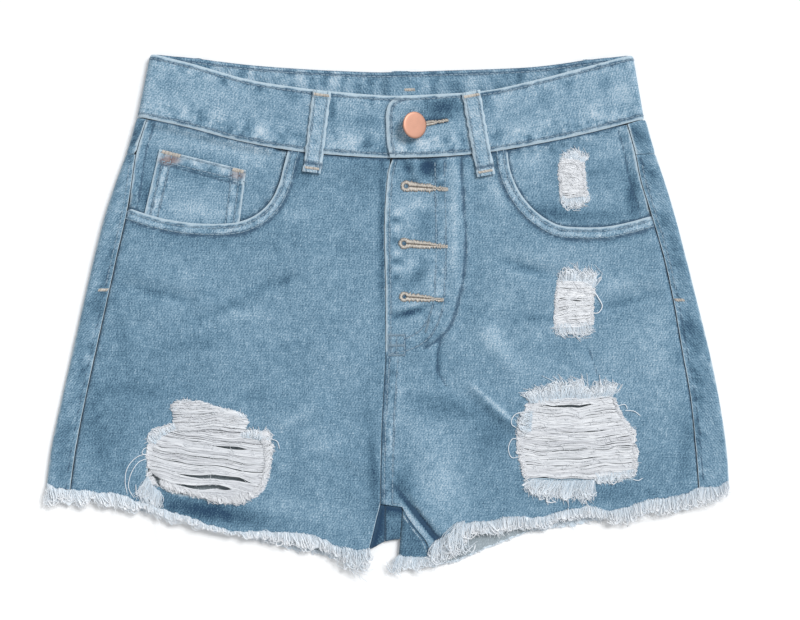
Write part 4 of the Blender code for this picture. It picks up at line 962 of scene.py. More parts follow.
def finish(key):
    """The material of that name, made the first time it is asked for."""
    name = FINISH_NAMES[key]
    found = bpy.data.materials.get(name)
    if found:
        return found
    colours = bpy.context.scene.shorts_colours
    if key == "denim":
        places = {"_deep": 0, "_dark": 0.25, "": 0.5, "_light": 0.72, "_pale": 1}
        stops = [(place, getattr(colours, "indigo" + shade)) for shade, place in places.items()]
        return washed_denim(name, stops, colours.worn, colours.seam_dark, 1.1)
    if key == "wrong_side":
        grey = colours.wrong_side
        dark, pale = (*tinted(grey, 0.62), 1), (*[c + (1 - c) * 0.35 for c in grey[:3]], 1)
        return washed_denim(name, ((0, dark), (0.5, grey), (1, pale)), pale, dark, 0.9)
    if key == "copper":
        return plated_copper(name, colours.copper)
    return spun_cotton(name, *{
        "cotton": (colours.thread_root, colours.thread, colours.thread_dull),
        "weft": (colours.weft, colours.thread, colours.weft_dull),
        "topstitch": (colours.topstitch, colours.topstitch, colours.indigo_dark),
        "tan": (colours.tan, colours.tan, colours.tan_dull),
    }[key])


def size_of(key):
    """A size from the scene's properties, in millimetres."""
    return getattr(bpy.context.scene.shorts_sizes, key) / MM


def look(seed, base=0, edges=(), grooves=(), seams=(), fades=(), bands=(), rope=0.34):
    """How light a cloth is: a base tone, clouds, fades, bands and seam puckers. The fades and bands hold
    the wash's own light and dark patches and also painted light and shade: shadows beside folds, edges
    and seams, and light on the ridges of creases.

    It also gives the distance to the nearest rubbed edge and to the nearest dark line, both uneven. The
    dark lines are painted shade in grooves, stitch rows and under raised edges, together with the unfaded
    dye of seams. A fade is its middle, two half sizes, a turn in degrees and a tone. A band is a line, its
    half width and a tone.
    """

    def nearest(u, v, lines):
        away = np.full(np.shape(u), FAR)
        for line, wide in lines:
            away = np.minimum(away, line_distance(u, v, line) / wide)
        return away

    def read(u, v):
        wash = base + 0.07 * clouds(u, v, 42, seed) + 0.06 * clouds(u, v, 17, seed + 1)
        wash += 0.04 * clouds(u, v, 7, seed + 2)
        for x, y, half_x, half_y, turn, tone in fades:
            c, s = math.cos(math.radians(turn)), math.sin(math.radians(turn))
            across, up = ((u - x) * c + (v - y) * s) / half_x, ((v - y) * c - (u - x) * s) / half_y
            wash += tone * np.exp(-(across**2 + up**2))
        for line, half, tone in bands:
            wash += tone * bell(line_distance(u, v, line), half)
        wash += rope * roping(u, v, seams, seed + 3)
        uneven = 1 + 0.42 * clouds(u, v, 5, seed + 5) + 0.25 * clouds(u, v, 2.2, seed + 6)
        worn, groove = nearest(u, v, edges) * uneven, nearest(u, v, grooves) * (2 - uneven)
        return {"wash": wash, "worn": worn, "groove": groove, "pucker": seam_nearness(u, v, seams)}

    return read


def covering(outline, step):
    """Columns and rows a step apart that cover an outline."""
    return [lattice(low, high, step) for low, high in zip(np.min(outline, axis=0), np.max(outline, axis=0))]


def hole_sides(rows):
    """The left and the right side of a hole, each a function of y, from rows of y and both sides."""
    return smooth([(y, x) for y, x, _ in rows]), smooth([(y, x) for y, _, x in rows])


def hole_ring(name):
    """The outline of a hole, clockwise, from smooth curves down its two sides."""
    rows = HOLES[name]
    left, right = hole_sides(rows)
    y = np.linspace(rows[0][0], rows[-1][0], 36)
    ring = np.vstack([pairs(right(y), y), pairs(left(y), y)[::-1]])
    away = ring - ring.mean(axis=0)
    away /= np.hypot(away[:, 0], away[:, 1])[:, None]
    return ring + away * (0.5 * clouds(*ring.T, 4, 17))[:, None]


def strip_columns(side):
    """Columns across a back: coarse under the shorts, and fine round the side fold and over it."""
    return np.concatenate([np.arange(-16, 150, 4), np.arange(150, np.abs(outline_x(side, -125)) + 28, 1.5)])


def strip_u(side, x, y):
    """Flat coordinate u of a point of the strip that the back shows over the top."""
    radius, fold = side_fold(side, y)
    return fold + math.pi * radius + fold - np.abs(x)


def strip_out(side, y):
    """How far out the strip over the top ends, in the back's flat coordinates."""
    return strip_u(side, outseam_x(side, y), y) - SEAM / 2


def round_fold(side, y):
    """Points across the side fold and the strip, from under the shorts to the outseam, one at each y."""
    fold = side_fold(side, y)[1]
    return pairs(fold + (strip_out(side, y) - fold) * np.linspace(0, 1, len(y)), y)


def middle_seam(side, rows):
    """The cut edge of a back at the seam down its middle."""
    rows = np.array(rows)
    return pairs(side * (seat_seam_x(rows) + side * SEAM / 2), rows)


def sloping(top, foot):
    return top + (foot - top) * np.linspace(0, 1, 8)


def back_outline(side):
    """The cut of a back, in its flat coordinates, which run outwards from x = 0."""
    y = np.linspace(YOKE_SIDE_Y - 1.1, HEM_FRONT_LEFT[-1][1] if side > 0 else HEM_FRONT_RIGHT[0][1], 60)
    strip = pairs(strip_out(side, y), y)
    hem = curve(HEM_BACK[side], 3)
    ends = round_fold(side, sloping(hem[-1][1], strip[-1][1]))
    hem = hem[hem[:, 0] * side < ends[0][0] - 1.5]
    hem = pairs(side * hem[:, 0], hem[:, 1])
    seat_u = np.linspace(side * seat_seam_x(SEAT_TURN_END) + SEAM / 2, SEAT_REACH[side], 6)
    seat = pairs(seat_u, seat_fold_y(side * seat_u) + SEAT_FOLD_TOP / 2)
    corner = []
    if side > 0:
        fold_rows = np.array([-153.6, -158, -162])
        corner = [pairs(leg_fold_x(fold_rows) + LEG_FOLD_TOP / 2, fold_rows)]
        hem = hem[hem[:, 0] > corner[0][-1][0] + 1]
    seam = middle_seam(side, [YOKE_MIDDLE_Y - SEAM / 2, -60, -120])
    top = round_fold(side, sloping(YOKE_SIDE_Y - SEAM / 2, YOKE_SIDE_Y - 1.1))
    across = np.linspace(seam[0][0], top[0][0] - 14, 40)[1:]
    yoke = pairs(across, yoke_seam_y(side * across) - SEAM / 2)
    return np.vstack([seam, seat, *corner, hem, ends, strip[::-1][1:-1], top[::-1], yoke[::-1]])


def yoke_outline(side):
    """The cut of half a yoke, in the back's flat coordinates."""
    seam_top = float(back_seam(side * 0.976)), float(front_seam(side * 0.976))
    strip_top = float(front_seam(foot_share(outseam_x(side, 132)))) - SEAM
    top = round_fold(side, np.interp(np.linspace(0, 1, 9), (0, 0.6, 1), (*seam_top, strip_top)) - SEAM)
    foot = round_fold(side, sloping(YOKE_SIDE_Y + SEAM / 2, YOKE_SIDE_Y - 1.0 + SEAM / 2))
    seam = middle_seam(side, [122, 98, YOKE_MIDDLE_Y])
    across = np.linspace(seam[0][0], top[0][0] - 4, 40)
    waist = pairs(across, back_seam(foot_share(side * across)) - SEAM)
    across = np.linspace(seam[-1][0], foot[0][0] - 14, 40)[1:]
    yoke = pairs(across, yoke_seam_y(side * across) + SEAM / 2)
    y = np.linspace(top[-1][1], foot[-1][1], 8)[1:-1]
    return np.vstack([waist, top, pairs(strip_out(side, y), y), foot[::-1], yoke[::-1], seam[::-1][1:-1]])


def side_lines(side):
    """Lines of a back in its flat coordinates: the edge of the strip and the side fold."""
    y = np.linspace(132, -119, 60)
    radius, fold = side_fold(side, y)
    return pairs(strip_out(side, y), y), pairs(fold + math.pi / 2 * radius, y)


def laid(place, out, line, height):
    """Points of a flat line on a placed sheet, lifted along its normal."""
    line = np.asarray(line, float)
    u, v = line[..., 0], line[..., 1]
    return place(u, v) + normals(place, u, v, out) * np.asarray(height)[..., None]


def stitch_row(place, out, line, seed):
    """A row of stitches along a flat line: each is a short arch that dips into the cloth at both ends."""
    length, width = size_of("stitch_length"), size_of("stitch_width")
    line = np.asarray(line, float)
    along = lengths(line)
    count = max(1, int(along[-1] / (length * 1.28)))
    rng = np.random.default_rng(seed)
    start = (np.arange(count) + 0.15) * along[-1] / count
    at = start[:, None] + np.linspace(0, 1, 5) * length * rng.uniform(0.94, 1.04, (count, 1))
    flat = np.stack([np.interp(at, along, column) for column in line.T], -1)
    flat = flat + rng.normal(0, 0.05, (count, 1, 2))
    height = 0.18 * np.array([-1.6, 0.6, 1, 0.6, -1.6]) * rng.uniform(0.85, 1.15, (count, 1))
    shade = rng.uniform(0, 1, (count, 1))
    return strands(laid(place, out, flat, height), width / 2, {"shade": shade, "fray": shade * 0.4}, 4)


def bartack(place, out, start, end, width, seed):
    """A bartack: threads laid close together across a short line, each bowed a little."""
    start, end = np.array(start, float), np.array(end, float)
    run = end - start
    count = max(4, round(float(np.hypot(*run)) / TACK_PITCH))
    rng = np.random.default_rng(seed)
    across = np.array([-run[1], run[0]]) / np.hypot(*run)
    middle = start + run * (np.arange(count) / (count - 1))[:, None]
    reach = np.linspace(-0.5, 0.5, 5) * width * rng.uniform(0.85, 1.1, (count, 1))
    slant = np.linspace(-0.5, 0.5, 5) * TACK_PITCH
    flat = middle[:, None] + across * reach[..., None] + run / np.hypot(*run) * slant[None, :, None]
    height = np.array([-0.35, 0.25, 0.35, 0.25, -0.35]) * rng.uniform(0.8, 1.2, (count, 1)) + 0.1
    shade = rng.uniform(0.35, 1.4, (count, 1))
    return strands(laid(place, out, flat, height), 0.25, {"shade": shade, "fray": shade * 0.5}, 4)


def buttonhole(place, out, eye, end, eye_reach, half, seed):
    """A worked keyhole: threads stand across a ring round the eye and across both lips of the slit."""
    eye, end = np.array(eye, float), np.array(end, float)
    run = end - eye
    ahead = run / float(np.hypot(*run))
    across = np.array([-ahead[1], ahead[0]])
    rng = np.random.default_rng(seed)
    turn = np.linspace(0.7, 2 * math.pi - 0.7, 30)[:, None]
    way = np.cos(turn) * ahead + np.sin(turn) * across
    near, far = [eye + way * eye_reach * 0.4], [eye + way * eye_reach]
    s = np.linspace(0.06, 1, round(float(np.hypot(*run)) / 0.4))[:, None]
    narrowing = 1 - 0.2 * ease(s, 0.05, 0.5) - 0.42 * ease(s, 0.55, 0.75)
    wide = half * (narrowing + 0.12 * rng.normal(0, 1, s.shape))
    for lip in (-1, 1):
        slit = eye + ahead * float(np.hypot(*run)) * s
        near.append(slit + across * lip * wide * 0.06)
        far.append(slit + across * lip * wide)
    near, far = np.vstack(near), np.vstack(far)
    far = far + rng.normal(0, 0.14, far.shape)
    t = np.linspace(0, 1, 5)[None, :, None]
    flat = near[:, None] * (1 - t) + far[:, None] * t
    height = np.array([0.1, 0.8, 0.95, 0.6, -0.2]) * rng.uniform(0.75, 1.2, (len(near), 1))
    # Both ends of each thread, where it sinks into the cloth and into the slit, are painted darker as shade.
    shade = rng.uniform(0, 0.7, (len(near), 1)) + np.array([1.9, 0.4, 0, 0.7, 2.2])
    return strands(laid(place, out, flat, height), 0.26, {"shade": shade, "fray": 1 - shade * 0.5}, 4)


def ordered(lines, upright):
    """Lines with their points in order of x, or of y, which then comes first."""
    lines = [np.array(line, float)[:, ::-1 if upright else 1] for line in lines]
    return [line[line[:, 0].argsort()] for line in lines]


def at_share(line, share):
    """Places on an ordered line at shares of its run."""
    return line[0, 0] + share * (line[-1, 0] - line[0, 0])


def on_line(line, at):
    """Points of an ordered line at the given places."""
    return np.stack([at, np.interp(at, line[:, 0], line[:, 1])], -1)


def on_ground(flat, ground, height):
    """Flat points set at a height over the ground."""
    return np.concatenate([flat, (ground(flat[..., 0], flat[..., 1]) + height)[..., None]], -1)


def brush(root, tip, count, ground, seed, width=None, lift=1, clump=2.4, ragged=0.25, droop=0, low=0.1,
          curl=0.5, hook=0, upright=False, pale=0.25):
    """Loose fibres from one line to another: they gather into clumps, bow upwards and curl at the end.

    root and tip are points of x, y. Each fibre starts at a random x on the first and leans to the
    middle of its clump on the second. low and lift are its least and greatest height over the ground.
    A hook turns the end sideways and back, as the yarn of an unravelled edge does.
    Lines that run up and down are upright, and are followed by y.
    """
    width = width or size_of("fibre_width")
    root, tip = ordered((root, tip), upright)
    rng = np.random.default_rng(seed)
    low_end, high_end = root[0, 0], root[-1, 0]
    x = rng.uniform(low_end, high_end, count)
    clumps = max(2, round((high_end - low_end) / clump))
    centre = np.sort(rng.uniform(low_end, high_end, clumps))
    which = np.clip(np.searchsorted(centre, x), 0, clumps - 1)
    reach = (1 - ragged * rng.uniform(0, 1, clumps) ** 1.5)[which] * rng.uniform(0.66, 0.96, count)
    tip_x, middle_x = (at_share(tip, (at - low_end) / (high_end - low_end)) for at in (x, centre[which]))
    tip_x = tip_x * 0.45 + middle_x * 0.55 + rng.normal(0, 0.8, count)
    start = on_line(root, x)
    start[:, 1] += rng.normal(0, 0.35, count)
    run = (on_line(tip, tip_x) - start) * reach[:, None]
    t = np.linspace(0, 1, 9 if hook else 6)
    bow = rng.normal(0, 0.13, (count, 1)) * np.sin(math.pi * t) + rng.normal(0, 0.14, (count, 1)) * t**3
    lean = rng.normal(0, 0.16, clumps)[which][:, None] * t
    phase = 6.5 * t * rng.uniform(0.6, 1.3, (count, 1)) + rng.uniform(0, 6.28, (count, 1))
    wave = curl * rng.uniform(0, 1, (count, 1)) ** 1.2 * t**1.3
    ahead, bent = t + wave * np.cos(phase) * 0.8, bow + lean + wave * np.sin(phase)
    if hook:
        ahead = ahead + hook * (0.35 * np.sin(math.pi * t) - 0.3 * ease(t, 0.75, 1))
        turn = hook * rng.choice((-1, 1), (count, 1)) * rng.uniform(0.1, 0.32, (count, 1))
        bent = bent + turn * ease(t, 0.5, 1)
    sideways = pairs(-run[:, 1], run[:, 0])
    flat = start[:, None] + run[:, None] * ahead[..., None] + sideways[:, None] * bent[..., None]
    flat = flat[..., ::-1] if upright else flat
    layer = rng.uniform(0, 1, (count, 1))
    height = low + lift * layer * (0.25 + 0.75 * np.sin(math.pi * np.clip(t * 0.85 + 0.1, 0, 1)))
    height = height - droop * t**2 * rng.uniform(0.3, 1, (count, 1))
    taper = (1 - 0.15 * (t < 0.1) - 0.35 * ease(t, 0.8, 1)) * rng.uniform(0.7, 1.2, (count, 1))
    # shade is partly random and partly painted shade: it is higher on fibres that lie low in the tuft and
    # near the root. fray makes the tips paler, and is painted paler on the higher fibres as light.
    shade = 1.3 * rng.uniform(0, 1, (count, 1)) ** 1.4 * (1 - 0.55 * layer) + 0.3 * (1 - t)
    fray = pale + 0.5 * t + 0.3 * layer * rng.uniform(0, 1, (count, 1))
    return strands(on_ground(flat, ground, height), width / 2 * taper, {"shade": shade, "fray": fray})


def fleece(root, tip, ground, seed, thick, reach, fray, upright=False):
    """The matted layer under loose fibres: a lumpy closed strip from one line towards another."""
    root, tip = ordered((root, tip), upright)
    count = max(4, round((root[-1, 0] - root[0, 0]) / 1.1))
    x, end_x = (at_share(line, np.linspace(0, 1, count)) for line in (root, tip))
    start = on_line(root, x)
    ragged = reach * (1 + 0.22 * clouds(x, 0, 2.3, seed) + 0.16 * clouds(x, 0, 5.1, seed + 1))
    across = np.array([0, 0.12, 0.34, 0.56, 0.78, 1, 0.78, 0.5, 0.2])
    upper = np.array([0.3, 0.75, 1, 0.95, 0.7, 0.15, -0.1, -0.1, -0.1])
    flat = start[:, None] + (on_line(tip, end_x) - start)[:, None] * across[:, None] * ragged[:, None, None]
    flat = flat[..., ::-1] if upright else flat
    lumps = 1 + 0.7 * clouds(flat[..., 0], flat[..., 1], 2, seed + 2)
    shade = 0.5 + 0.5 * clouds(x, 0, 1.7, seed + 3)
    rings = on_ground(flat, ground, thick * upper * lumps)[None]
    return tubes(rings, {"shade": shade[None] * 0.5, "fray": np.full((1, count), fray)})


def turned_out(patch):
    """The patch with its faces turned round if its signed volume is negative."""
    volume = 0.0
    for face, _ in patch.faces:
        first = patch.points[face[:, 0]]
        for i in range(1, face.shape[1] - 1):
            second, third = patch.points[face[:, i]], patch.points[face[:, i + 1]]
            volume += float(np.einsum("ij,ij->", first, np.cross(second, third)))
    if volume < 0:
        patch.faces = [(face[:, ::-1], number) for face, number in patch.faces]
    return patch


def loose_threads(rows, ground, width=0.5):
    """Single threads that wander on the surface: each follows a smooth curve through x, y, height rows."""
    made = []
    for number, row in enumerate(rows):
        points = np.array(row, float)
        along = lengths(points[:, :2])
        x, y, height = (smooth(zip(along, column))(np.linspace(0, along[-1], 22)) for column in points.T)
        path = np.stack([x, y, ground(x, y) + height], -1)[None]
        taper = width / 2 * np.interp(np.arange(22), (0, 1, 19, 21), (0.6, 1, 0.9, 0.35))[None]
        made.append(strands(path, taper, {"shade": 0.15 * (number % 3), "fray": 0.75}, 4))
    return joined(made)


def plan_to_strip(side, rows):
    """Fades given in plan, moved to the flat coordinates of the strip."""
    return [(float(strip_u(side, x, y)), y, *rest) for x, y, *rest in rows]


# x, y, half width, half height, turn in degrees, tone
STRIP_FADES = {
    -1: (
        (-188, 39.4, 4, 5, 0, -0.4), (-191.8, 27.2, 3, 4, 0, -0.3), (-197.2, 6.8, 5, 9, 8, -0.35),
        (-206.7, -23.8, 4, 6, 8, -0.3), (-208.8, -38.8, 5, 6, 8, -0.35), (-213.5, -55.8, 4, 6, 8, -0.35),
        (-219, -80.2, 4, 7, 8, -0.4), (-221, -93.8, 4, 6, 8, -0.3), (-222.4, -105.4, 5, 5, 0, -0.3),
        (-170, 122, 4, 8, 10, -0.7), (-199, 20, 3, 8, 8, 0.3), (-212, -66, 3, 8, 8, 0.25),
        (-216, -50, 3, 20, 8, 0.15), (-182, 74, 3, 10, 10, 0.15), (-226, -108, 4, 6, 0, 0.2),
    ),
    1: (
        (170, 123, 5, 6, -8, -0.8), (178.8, 96.6, 4, 6, -8, -0.5), (187.7, 64.6, 4, 6, -8, -0.35),
        (194.5, 49, 4, 6, -8, -0.35), (197.9, 35.4, 4, 6, -8, -0.35), (206, -8.2, 6, 9, -8, -0.6),
        (207, -20.4, 5, 8, -8, -0.5), (211.5, -42.2, 4, 7, -6, -0.4), (210.8, -57.8, 4, 6, -6, -0.35),
        (206, -71.4, 4, 8, -4, -0.4), (206, -96.6, 5, 8, -3, -0.4), (190, 20, 3, 9, -8, 0.25),
        (216, -30, 3, 16, -6, 0.2), (220, -80, 4, 18, -4, 0.2), (222, -108, 6, 6, 0, 0.2),
    ),
}
# The same for the fronts: patches of the wash, and also painted light and shade. Examples are the dark
# strokes in crease and pucker troughs with light on their ridges, the shadow beside the fly's edge on the
# right front, and the deep shadow beside the deep fold.
FRONT_FADES_AND_SHADE = {
    -1: (
        (-95, 20, 50, 60, 10, 0.05), (-190, -70, 24, 60, 5, -0.1), (-40, -60, 30, 60, 0, 0.05),
        (-154.4, 15.3, 20, 2.4, -14, -0.3), (-139, 27, 18, 7, -10, 0.18), (-76, 22, 14, 3.2, 22, -0.22),
        (-69, 24, 4, 5, 0, -0.35), (-110, 5, 24, 4, 24, -0.25), (-96.6, 0, 17, 3, -8, 0.28),
        (-61, 68, 12, 5, 10, 0.22), (-15, 95, 16, 16, 0, -0.22), (-3, 54, 2.6, 52, 0, -0.7),
        (-61, -70, 16, 3.2, 29, 0.32), (-52, -80, 12, 2.6, 32, 0.2), (-171, -51, 34, 5, -5, -0.24),
        (-42, -88, 10, 7, 0, 0.2), (-59, -133, 36, 8, -12, 0.22), (-8.5, -112, 3.5, 36, 5, -0.55),
        (-123, -132, 32, 6, -8, -0.9), (-112, -138, 26, 4, -8, -0.4), (-100, 48, 44, 5, 0, -0.15),
        (-168, -96, 8, 30, 0, 0.15), (-72, -96, 6, 26, 0, 0.15), (-90, -56, 12, 4, 0, -0.2),
        (-150, 40, 24, 6, 0, 0.12), (-120, 56, 24, 5, -3, 0.12), (-206, -105, 9, 12, 0, 0.1),
        (-130, -20, 30, 5, 8, -0.15), (-40, 20, 14, 24, 0, 0.08), (-100, -18, 26, 5, 12, 0.1),
        (-196, -84, 5, 30, 6, -0.2), (-180, -14, 5, 30, 8, -0.2), (-28, -40, 10, 24, 0, 0.08),
        (-120, -147, 50, 3, -12, -0.2), (-56, 98, 6, 9, 0, -0.3), (-70, 90, 8, 14, 30, 0.15),
    ),
    1: (
        (90, -20, 60, 50, 0, 0.04), (160, -20, 36, 30, 0, 0.04), (126, -112, 50, 10, 2, -0.25),
        (152, -123, 34, 6, 2, -0.35), (70, -13.6, 7, 10, -30, 0.22), (79, -25, 17, 6, -50, 0.38),
        (39.4, -63, 26, 8, -8, -0.42), (71.7, -81.6, 12, 12, 0, -0.42), (75, -62.5, 20, 1.5, -41, 0.8),
        (71.5, -67.5, 18, 2.2, -41, -0.3), (29, -95, 11, 34, 27, 0.2), (94, 32, 18, 2.6, -17, -0.42),
        (97, 41, 18, 5, -10, 0.16), (100.6, -2, 14, 3, 0, -0.38), (160, 9, 14, 2.6, 12, -0.28),
        (158, 20, 16, 6, 8, 0.28), (74, 87, 5, 14, 20, 0.42), (204, -85, 6, 26, -4, -0.38),
        (182, -17, 12, 20, 0, 0.14), (118, -24, 24, 8, 0, -0.18), (44, -112, 14, 16, 20, 0.14),
        (66, 102, 6, 7, 0, -0.45), (200, -20, 5, 24, -8, -0.25), (60, 40, 6, 40, 0, -0.1),
        (22, 45, 20, 60, 0, 0.1), (27.5, 100, 7, 6, 0, -1.25), (14, 100, 3, 5, 0, -0.95),
        (20.5, 103, 1.6, 5, 10, 0.4), (17, 91, 5, 2.4, -10, -0.6), (36, 88, 4, 4, 0, -0.55),
        (45.6, 61, 3, 46, 0, 0.4), (7, 70, 3, 3.2, 0, 0.6), (7, 59, 3, 3, 0, 0.55), (7, 42, 3, 3, 0, 0.55),
        (7, 31, 3, 3, 0, 0.5), (6, 64.6, 3.4, 2, 0, -0.65), (6, 50, 3.4, 2.6, 0, -0.7),
        (6, 36.4, 3.4, 2, 0, -0.65), (6, 25, 3.2, 2.4, 0, -0.6), (14, 1.2, 11, 2.2, 16, -1.1),
        (17, 7, 10, 2, 12, 0.4), (21, 27, 4, 8, -30, -0.6), (16, 33, 4, 4, 0, 0.35), (33, 20, 5, 8, 0, 0.35),
        (36, 8.5, 4, 2.6, 0, -0.5), (26, 60, 7, 11, 0, -0.4), (22, 75, 8, 4, 0, 0.35),
        (26, -17, 8, 2.6, 40, -0.35), (35, -30, 2.6, 15, 0, -0.5), (10, -116, 9, 12, 0, -0.5),
        (27.6, -144.6, 23, 1.3, -51, -3.8), (17, -139.5, 17, 2.8, -51, 0.6), (27, -117, 14, 4, -45, 0.2),
        (100, -100, 60, 30, 0, -0.08), (4, -88, 3, 30, 0, 0.2), (8, -50, 3, 16, 0, 0.25),
    ),
}
# The same for the waistband, given in plan: light and dark patches along its puckers, and painted shade in
# the crease beside the button.
BAND_FADES_AND_SHADE = (
    (-128, 131, 3.2, 5.6, -10, -0.5), (-108.5, 126, 3.2, 5.6, -10, -0.5), (-96, 125, 3, 5.6, -8, -0.6),
    (-73, 117.6, 3.4, 4.6, 0, -0.45), (-137, 138, 9, 4, -14, 0.35), (-118.7, 131, 4, 5.4, -10, 0.4),
    (-86, 124, 4, 5.4, -8, 0.4), (-73, 126, 5, 4, 0, 0.12), (-112, 160, 6, 4, -12, -0.35),
    (-88, 153, 5, 4, -10, -0.4), (-66, 149, 5, 4, -8, -0.45), (-146, 156, 7, 4, -14, -0.2),
    (-37, 139, 2.6, 11, 8, -0.6), (-15, 131, 12, 4, 0, -0.4), (-25, 119, 6, 5, 0, 0.15),
    (-2, 112, 5, 5, 0, -0.6), (-14, 117, 3, 5, 0, -0.35), (-22, 146, 12, 3, 0, 0.15),
    (38, 141, 14, 6.4, 4, -1), (30, 132.2, 14, 2.6, 5, -0.8), (51, 119, 2.4, 8, 8, -0.5),
    (27.5, 115.6, 9, 4, 0, 0.35), (9, 114, 4, 6, 0, 0.45), (14, 146, 9, 3, 5, 0.15), (68, 146, 4, 8, 8, -0.6),
    (89, 124, 9, 5, 12, 0.3), (107, 126, 5, 5, 12, 0.35), (138, 138, 9, 6, 16, 0.25),
    (107.4, 146, 6, 5, 12, -0.3), (90, 136, 8, 3, 10, -0.25), (124, 156, 5, 4, 14, -0.35),
    (148, 158, 5, 5, 16, -0.4), (97, 117.6, 3, 4, 10, -0.4), (122, 130, 3.4, 5, 12, -0.3),
    (158, 150, 6, 10, 16, 0.2), (-158, 150, 6, 12, -16, 0.1),
)


def make_back(side):
    """A back: its flat cut bent round the side fold, with the turned up seat and, on the left, leg."""
    outline = back_outline(side)
    edge, fold = side_lines(side)
    pocket = closed(back_pockets[1])
    seat_line = np.array([(side * seat_seam_x(y), y) for y in (72, -120, -156)])
    surface = look(
        100 + side, base=-0.02, edges=((edge, 0.3), (fold, 1.6)),
        grooves=((edge - (2.9, 0), 0.8), (pocket, 1), (seat_line + (3, 0), 0.8)),
        seams=((edge, 9, 1), (pocket, 6, 0.7), (seat_line, 6, 0.8)),
        fades=plan_to_strip(side, STRIP_FADES[side]), rope=0.26,
    )
    grid = strip_columns(side), lattice(outline[:, 1].min(), outline[:, 1].max(), 2)
    patches = [cloth_shell(outline, back_place(side), grid, surface, out=-side)]
    seat = outline_seat(side)
    seam = pairs(seat[0, 0], (0, 40))
    shaded = [np.array(CROTCH_EDGE) - (0, 0.8)]
    if side < 0:
        shaded.append(np.array(INNER_EDGE_RIGHT) + (1.4, 0))
    shaded = [pairs(side * x, y + SEAT_RISE - seat_fold_y(x)) for x, y in (line.T for line in shaded)]
    surface = look(
        110 + side, base=-0.5 if side > 0 else -0.72,
        grooves=((seam, 1.1), *[(line, 1.6) for line in shaded]),
        bands=[(line, 3.2, -1.1) for line in shaded], seams=((seam + (3, 0), 4, 1),),
    )
    patches.append(cloth_shell(seat, seat_place(side), covering(seat, 1), surface, out=side))
    turned_area = flat_area(seat)
    if side > 0:
        leg = outline_leg()
        y = np.arange(-164, -132, 4)
        seam = pairs(math.pi * LEG_FOLD_TOP / 2 + inseam_x(y) - SEAM - leg_fold_x(y) - LEG_FOLD_TOP / 2, y)
        surface = look(
            117, base=-0.38, edges=((seam - (2.2, 0), 0.3),), grooves=((seam, 1.6),),
            seams=((seam - (3, 0), 4, 0.8),),
        )
        patches.append(cloth_shell(leg, leg_place, covering(leg, 1), surface))
        turned_area += flat_area(leg)
    size = np.ptp(outline, axis=0) + (0, 26)
    return add_cloth(sided("back", side), joined(patches), outline, flat=size, more=turned_area)


SEAT_RISE = (math.pi - 1) * (SEAT_FOLD_TOP / 2)


def outline_seat(side):
    """The cut of the turned up seat: across the fold, then up to where it ends under the crotch."""
    start = side * seat_seam_x(SEAT_TURN_END) + SEAM / 2
    foot = np.linspace(start, SEAT_REACH[side], 8)
    edge = np.empty((0, 2))
    if side > 0:
        y = np.array([-151, -144, -137, -131.6])
        x = leg_fold_x(y) - 0.15
        edge = pairs(x, y + SEAT_RISE - seat_fold_y(x))
    u = np.linspace(start, edge[-1, 0] if side > 0 else SEAT_REACH[side], 8)
    top = pairs(u, SEAT_TURN_END + SEAT_RISE - seat_fold_y(side * u))
    return np.vstack([pairs(foot, 0), edge, top[::-1]])


def outline_leg():
    """The cut of the turned up leg: round its fold, along the hem and up the inseam."""
    radius = LEG_FOLD_TOP / 2
    quarter = math.pi / 2 * radius
    y = np.array([-163, -158, -152, -146, -140, -135.6])
    seam = pairs(math.pi * radius + inseam_x(y) - SEAM - leg_fold_x(y) - radius, y)
    hem = pairs(np.linspace(0, seam[0][0], 8), np.linspace(-164.9, -165.6, 8))
    return np.vstack([[(quarter, -131.8), (quarter, -153), (0, -153.6)], hem, seam])


def make_yoke(side):
    """Half a yoke, with its seam doubled and stitched along its foot."""
    outline = yoke_outline(side)
    edge, fold = side_lines(side)
    u = np.linspace(0, 176, 40)
    seam = pairs(u, yoke_seam_y(side * u))
    surface = look(
        120 + side, edges=((edge, 0.8), (fold, 1.5)), grooves=((seam + (0, 2.4), 0.9),),
        seams=((edge, 8, 1), (seam, 7, 0.8)), fades=plan_to_strip(side, STRIP_FADES[side]), rope=0.26,
    )
    grid = strip_columns(side), lattice(outline[:, 1].min(), outline[:, 1].max(), 1.6)
    patch = cloth_shell(outline, back_place(side), grid, surface, out=-side)
    return add_cloth(sided("yoke", side), patch, outline)


def make_back_pocket(side):
    """A patch pocket flat under the back: pointed foot, doubled top edge."""
    ring = np.array(BACK_POCKET, float)
    edge = closed(ring)

    def place(u, v):
        top = line_distance(u, v, ring[:2])
        return stacked(side * u, v, 0.25 + 0.2 * clouds(u, v, 14, 9) - 0.25 * (1 - ease(top, 9, 11)))

    surface = look(
        130 + side, base=0.04, edges=((edge, 1.2),),
        grooves=((spaced(edge, 6), 0.5), (((30, 56), (150, 72)), 0.8)),
        seams=((edge, 8, 1), (ring[:2], 9, 1)), fades=((90, 10, 30, 26, 0, 0.12),), rope=0.4,
    )
    wall = size_of("cloth_wall") - 0.1
    patch = cloth_shell(ring, place, covering(ring, 2.2), surface, out=-side, wall=wall)
    return add_cloth(sided("back_pocket", side), patch, ring)


def upright(x, top, foot):
    """A line straight down, as the edges and seams of a belt loop are."""
    return (x, foot), (x, top)


